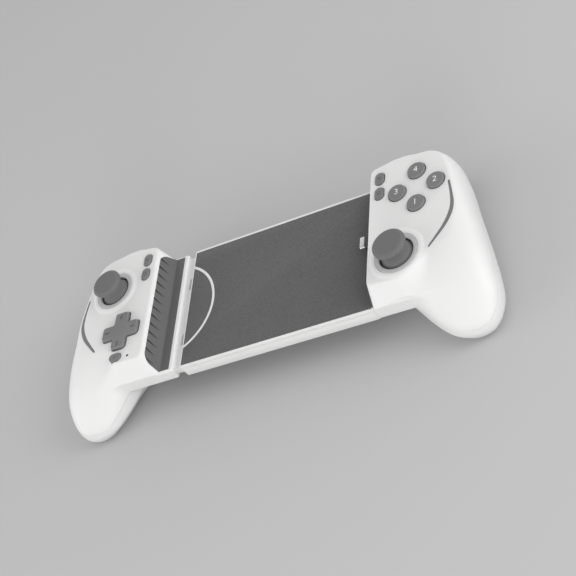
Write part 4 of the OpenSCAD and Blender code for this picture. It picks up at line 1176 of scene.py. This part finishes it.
class Finish(Graph):
    """A material with one principled shader, and short ways to add nodes to it."""

    def __init__(self, name, **settings):
        self.material = bpy.data.materials.new(name)
        self.material.use_nodes = True
        super().__init__(self.material.node_tree)
        self.shader = self.tree.nodes["Principled BSDF"]
        for socket, value in settings.items():
            self.shader.inputs[socket.replace("_", " ").title().replace("Ior", "IOR")].default_value = value
        self.place = self.node("ShaderNodeTexCoord", output="Object")

    def feed(self, **wires):
        """Links wires to the shader's inputs."""
        for name, wire in wires.items():
            self.tree.links.new(wire.socket, self.shader.inputs[name.replace("_", " ")])

    def noise(self, scale, detail=3.0, rough=0.5, place=None):
        """Cloudy noise, with a scale counted in a metre."""
        return self.node("ShaderNodeTexNoise", None, {"Vector": place or self.place, "Scale": scale,
            "Detail": detail, "Roughness": rough})

    def stretched(self, *factors):
        """Object coordinates with each axis stretched by a factor."""
        return self.node("ShaderNodeMapping", None, {"Vector": self.place, "Scale": factors})

    def blend(self, factor, first, second):
        """A colour between two, by a factor."""
        sockets = {0: factor, 6: (*first, 1), 7: (*second, 1)}
        return self.node("ShaderNodeMix", {"data_type": "RGBA"}, sockets, 2)

    def drift(self, factor, tone, spread, warmth=0.0):
        """A grey that drifts about its tone by a share, by a factor."""
        return self.blend(factor, grey(tone * (1 - spread), warmth), grey(tone * (1 + spread), warmth))

    def bump(self, height, strength, distance):
        """Feeds a height to the shader's normal, with a depth in millimetres."""
        self.feed(Normal=self.node("ShaderNodeBump", None, {"Height": height, "Strength": strength,
            "Distance": distance * MM}))


def grey(value, warmth=0.0):
    """A grey colour, warmed a little towards red."""
    return (value * (1 + warmth), value, value * (1 - warmth))


def moulded(name, tone, roughness, grain=0.25, spread=0.03, warmth=0.0, **settings):
    """Moulded plastic: a fine spark-eroded skin, and a slight drift in tone and gloss."""
    finish = Finish(name, **settings)
    cloud = finish.noise(18.0, 2.0)
    skin = finish.noise(3800.0, 2.0, 0.6)
    finish.feed(Base_Color=finish.drift(cloud, tone, spread, warmth),
        Roughness=cloud * 0.06 + skin * 0.08 + (roughness - 0.07))
    finish.bump(skin, grain, 0.02)
    return finish.material


def rubber(name, tone, roughness=0.62, grain=0.5, spread=0.06):
    """Soft matt rubber with a dusty grain."""
    finish = Finish(name, specular_ior_level=0.35)
    cloud = finish.noise(30.0, 3.0)
    dust = finish.noise(2600.0, 3.0, 0.65)
    finish.feed(Base_Color=finish.drift(cloud * 0.6 + dust * 0.4, tone, spread),
        Roughness=dust * 0.16 + (roughness - 0.08))
    finish.bump(dust, grain, 0.03)
    return finish.material


def leather_grain(name, tone):
    """Grained pad: small pebbles in relief, with painted shade darkening the creases between them."""
    finish = Finish(name, specular_ior_level=0.4)
    warp = finish.noise(900.0, 2.0)
    place = finish.node("ShaderNodeVectorMath", {"operation": "MULTIPLY_ADD"},
        {0: finish.node("ShaderNodeCombineXYZ", None, {"X": warp, "Y": warp, "Z": warp}),
            1: (0.0004, 0.0004, 0.0004), 2: finish.place})
    pebble = finish.node("ShaderNodeTexVoronoi", {"feature": "DISTANCE_TO_EDGE"},
        {"Vector": place, "Scale": 800.0}, "Distance")
    crown_and_crease_shade = finish.node("ShaderNodeMapRange", {"interpolation_type": "SMOOTHSTEP"},
        {"Value": pebble, "From Min": 0.0, "From Max": 0.22})
    cloud = finish.noise(60.0, 3.0)
    # Painted shade: the base colour darkens towards the creases between pebbles and lightens on their crowns.
    # The bump gives the real relief.
    finish.feed(Base_Color=finish.blend(crown_and_crease_shade * 0.7 + cloud * 0.3, grey(tone * 0.74), grey(tone * 1.1)),
        Roughness=0.64 - crown_and_crease_shade * 0.12 + cloud * 0.06)
    finish.bump(crown_and_crease_shade, 0.35, 0.06)
    return finish.material


def drawn_steel(name):
    """Bright metal with fine draw lines."""
    finish = Finish(name, metallic=1.0)
    lines = finish.noise(1.0, 2.0, 0.5, finish.stretched(300.0, 6000.0, 6000.0))
    finish.feed(Base_Color=finish.blend(lines, grey(0.60), grey(0.72)), Roughness=lines * 0.16 + 0.2)
    finish.bump(lines, 0.1, 0.01)
    return finish.material


def solder_mask(name):
    """Green board skin with copper tracks showing through."""
    finish = Finish(name, specular_ior_level=0.5)
    tracks = finish.node("ShaderNodeTexBrick", {"offset": 0.35},
        {"Vector": finish.place, "Scale": 120.0, "Mortar Size": 0.04, "Mortar Smooth": 0.2}, "Fac")
    cloud = finish.noise(80.0)
    mask = tracks * 0.8 + cloud * 0.2
    finish.feed(Base_Color=finish.blend(mask, (0.012, 0.09, 0.035), (0.03, 0.2, 0.07)),
        Roughness=0.34 - tracks * 0.08 + cloud * 0.05)
    finish.bump(tracks, 0.2, 0.03)
    return finish.material


def cable_film(name):
    """Amber film with flat conductors along it."""
    finish = Finish(name, coat_weight=0.3)
    strands = finish.node("ShaderNodeTexWave", {"bands_direction": "Y"},
        {"Vector": finish.place, "Scale": 320.0, "Distortion": 0.0}, "Fac")
    finish.feed(Base_Color=finish.blend(strands, (0.28, 0.10, 0.02), (0.55, 0.26, 0.06)),
        Roughness=strands * 0.1 + 0.28)
    finish.bump(strands, 0.2, 0.03)
    return finish.material


FINISHES = {
    "white_plastic": moulded("white_plastic", 0.84, 0.4, warmth=0.004),
    "pale_plastic": moulded("pale_plastic", 0.55, 0.46),
    "control_grey": moulded("control_grey", 0.19, 0.46, 0.35, 0.06),
    "dark_plastic": moulded("dark_plastic", 0.03, 0.5, 0.3, 0.1),
    "stick_rubber": rubber("stick_rubber", 0.16),
    "liner_rubber": rubber("liner_rubber", 0.125, 0.58),
    "pad_rubber": leather_grain("pad_rubber", 0.128),
    "mat_rubber": rubber("mat_rubber", 0.35),
    "steel": drawn_steel("steel"),
    "board_laminate": solder_mask("board_laminate"),
    "cable_film": cable_film("cable_film"),
    "light_plastic": moulded("light_plastic", 0.02, 0.2, 0.05, 0.1, coat_weight=0.5)}
PRINT = moulded("legend_print", 0.84, 0.5, 0.2)
MARK = moulded("key_mark", 0.08, 0.5, 0.2)

NODE_SLOTS = {
    "white_plastic": ("front_shell", "rear_shell", "tray_upper", "tray_lower", "tray_ring", "bumper",
        "trigger", "slide_tongue"),
    "pale_plastic": ("stick_ring", "shoulder_bracket"),
    "control_grey": ("button_top", "button_right", "button_bottom", "button_left", "upper_key", "lower_key",
        "menu_key", "dpad", "accent_strip"),
    "dark_plastic": ("stick_yoke", "stick_hub", "dpad_cradle", "usb_plug_boot"),
    "stick_rubber": ("stick_cap",),
    "liner_rubber": ("clamp_liner",),
    "pad_rubber": ("tray_pad",),
    "mat_rubber": ("key_mat",),
    "steel": ("stick_frame", "trigger_pin", "trigger_spring", "screws", "tray_screws", "usb_plug",
        "return_springs", "dpad_pivot"),
    "board_laminate": ("board",),
    "cable_film": ("flex_cable",),
    "light_plastic": ("light_pipe",)}


def slot_of(node):
    """Material slot of a node, by its name without the side."""
    kind = node.removeprefix("right_").removeprefix("left_")
    return next(slot for slot, kinds in NODE_SLOTS.items() if kind in kinds)


MIRROR = Matrix.Scale(-1, 4, (1, 0, 0))


def stand_for(piece, node, mirror=False):
    """Lets a finished piece take a node's place, body and material; a left piece is mirrored over."""
    if mirror:
        piece.data.transform(MIRROR)
        piece.data.flip_normals()
    if not piece.data.materials or not piece.data.materials[0]:
        piece.data.materials.clear()
        piece.data.materials.append(FINISHES[slot_of(node)])
    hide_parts(node)
    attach(piece, body_of(nodes[node])[0])
    return piece


def with_print(piece, marks, finish, node):
    """Joins printed marks to a control, in their own colour."""
    piece.data.materials.append(FINISHES[slot_of(node)])
    marks.data.materials.clear()
    marks.data.materials.append(finish)
    return join(piece, marks)


MARK_RING_R = (0.75, 1.15)
MARK_ROWS = {"bars": (-0.8, 0, 0.8), "bar": (0,)}
MARK_HALF = (1.1, 0.18)
MARK_SINK = 0.05
MARK_RISE = 0.02


def key_mark(place, shape, upright=True):
    """A plain mark on a small key: bars or a ring."""
    low, top = FACE_H + KEY_H - MARK_SINK, FACE_H + KEY_H + MARK_RISE
    if shape == "ring":
        inner, outer = MARK_RING_R
        section = [(inner, low), (inner, top), (outer, top), (outer, low), (inner, low)]
        return lathe("mark", place, section, 40)
    hx, hy = MARK_HALF if upright else MARK_HALF[::-1]
    bars = []
    for row in MARK_ROWS[shape]:
        x, y = (place[0], place[1] + row) if upright else (place[0] + row, place[1])
        bars.append(block("mark", (x - hx, y - hy, low), (x + hx, y + hy, top)))
    return join(*bars)


TONGUE_EDGE = 0.2


def notched_tongue():
    """The tongue's CAD shape with soft edges, and two notches in its upper side."""
    tongue = softened("slide_tongue", TONGUE_EDGE)
    for y in NOTCH_Y:
        combine(tongue, block("notch", (NOTCH_X[0], y - NOTCH_W / 2, TONGUE_Z[1] - NOTCH_DEPTH),
            (NOTCH_X[1], y + NOTCH_W / 2, TONGUE_Z[1] + PAST)))
    return done(tongue)


# Build the part

for name, obj in nodes.items():
    obj.data.materials.clear()
    obj.data.materials.append(FINISHES[slot_of(name)])

KEYS = {"upper_key": (UPPER_KEY_PLACE, True, "bars"), "lower_key": (LOWER_KEY_PLACE, True, "ring"),
    "menu_key": (MENU_KEY_PLACE, False, "bar")}

for side in ("right", "left"):
    left = side == "left"
    front, rear, liner, strip = handle_shells(side)
    pieces = {"front_shell": front, "rear_shell": rear, "clamp_liner": finish_liner(liner, side),
        "accent_strip": strip, "stick_ring": stick_ring(side), "stick_cap": stick_cap(side),
        "bumper": bumper(side), "trigger": trigger(side), "screws": handle_screws(side)}
    for kind, piece in pieces.items():
        stand_for(piece, f"{side}_{kind}", left)
    for key, (place, upright, mark) in KEYS.items():
        node = f"{side}_{key}"
        if node in nodes:
            piece = with_print(small_key(node, place, upright), key_mark(place, mark, upright), MARK, node)
            stand_for(piece, node, left)

for node in BUTTON_TURNS:
    piece, number = button(node)
    stand_for(with_print(piece, number, PRINT, node), node)

stand_for(direction_pad(), "dpad", True)

# Straight-edged pieces keep their CAD shape, with edges rounded by a width
EDGE_WIDTHS = {"tray_upper": 0.25, "tray_lower": 0.3, "tray_pad": 0.15, "tray_ring": 0.08, "usb_plug": 0.1,
    "usb_plug_boot": 0.25}
for node, width in EDGE_WIDTHS.items():
    stand_for(softened(node, width), node)
stand_for(notched_tongue(), "slide_tongue")

# Floor, light and camera

# The floor looks pale but throws little light back on the part
FLOOR_TONE = 0.6
FLOOR_BOUNCE = 0.12
FLOOR_SIZE = 12
bpy.ops.object.select_all(action="DESELECT")
bpy.ops.mesh.primitive_plane_add(size=FLOOR_SIZE)
floor = bpy.context.object
floor.name = "floor"
floor_finish = Finish("floor_paper", roughness=0.9, specular_ior_level=0.0)
seen = sum(floor_finish.node("ShaderNodeLightPath", output=ray)
    for ray in ("Is Camera Ray", "Is Glossy Ray", "Is Transmission Ray"))
mottle = floor_finish.noise(3.0) * 0.02 + 0.98
floor_finish.feed(Base_Color=floor_finish.blend(seen * mottle, grey(FLOOR_BOUNCE), grey(FLOOR_TONE)))
floor.data.materials.append(floor_finish.material)


LAMP_DISTANCE = 1.3


def softbox(name, direction, size, power, spread=180):
    """Square area lamp that faces the part, with a beam of some degrees."""
    aim = at(0, 0, 0)
    spot = aim + Vector(direction).normalized() * LAMP_DISTANCE
    turn = (aim - spot).to_track_quat("-Z", "Y").to_euler()
    bpy.ops.object.light_add(type="AREA", location=spot, rotation=turn)
    lamp = bpy.context.object
    lamp.name = name
    lamp.data.size = size
    lamp.data.energy = power
    lamp.data.spread = math.radians(spread)
    return lamp


# The low front lamp has a narrow beam and no mirror image, so that neither floor nor bed glares
front_lamp = softbox("front_lamp", (0.2, -1.0, 0.24), 0.5, 1.3, 100)
front_lamp.visible_glossy = False
softbox("side_lamp", (1.0, 0.05, 0.6), 0.8, 5.0)
softbox("fill_lamp", (-1.0, -0.3, 0.4), 0.9, 2.6)

# Soft studio surround: bright walls and a darker ceiling
WALL_LIGHT = 1.6
CEILING_LIGHT = 0.37
GLOW_FALL = 2.0
world = bpy.data.worlds.new("studio")
bpy.context.scene.world = world
world.use_nodes = True
surround = Graph(world.node_tree)
upward = surround.node("ShaderNodeSeparateXYZ", None,
    {"Vector": surround.node("ShaderNodeTexCoord", output="Generated")}, "Z")
glow = (1 - upward) ** GLOW_FALL * WALL_LIGHT + CEILING_LIGHT
world.node_tree.links.new(glow.socket, world.node_tree.nodes["Background"].inputs["Strength"])
world.node_tree.nodes["Background"].inputs["Color"].default_value = (1, 1, 1, 1)
bpy.context.scene.view_settings.view_transform = "Standard"

# Camera solved from the photograph: its place, and its right, down and forward directions
CAMERA_PLACE = (364.864, -466.736, 495.664)
CAMERA_RIGHT = Vector((0.8471034, 0.0721700, -0.5265048))
CAMERA_DOWN = Vector((-0.2693463, -0.7957506, -0.5424330))
CAMERA_FORWARD = Vector((-0.4581139, 0.6013089, -0.6546443))
SENSOR_WIDTH = 36
LENS = 81.47
bpy.ops.object.camera_add()
camera = bpy.context.object
camera.name = "photo_camera"
turn = Matrix((CAMERA_RIGHT, -CAMERA_DOWN, -CAMERA_FORWARD)).transposed().to_4x4()
camera.matrix_world = Matrix.Translation(at(*CAMERA_PLACE)) @ turn
camera.data.sensor_width = SENSOR_WIDTH
camera.data.lens = LENS
camera.data.clip_start = 0.01
bpy.context.scene.camera = camera

bpy.context.view_layer.update()
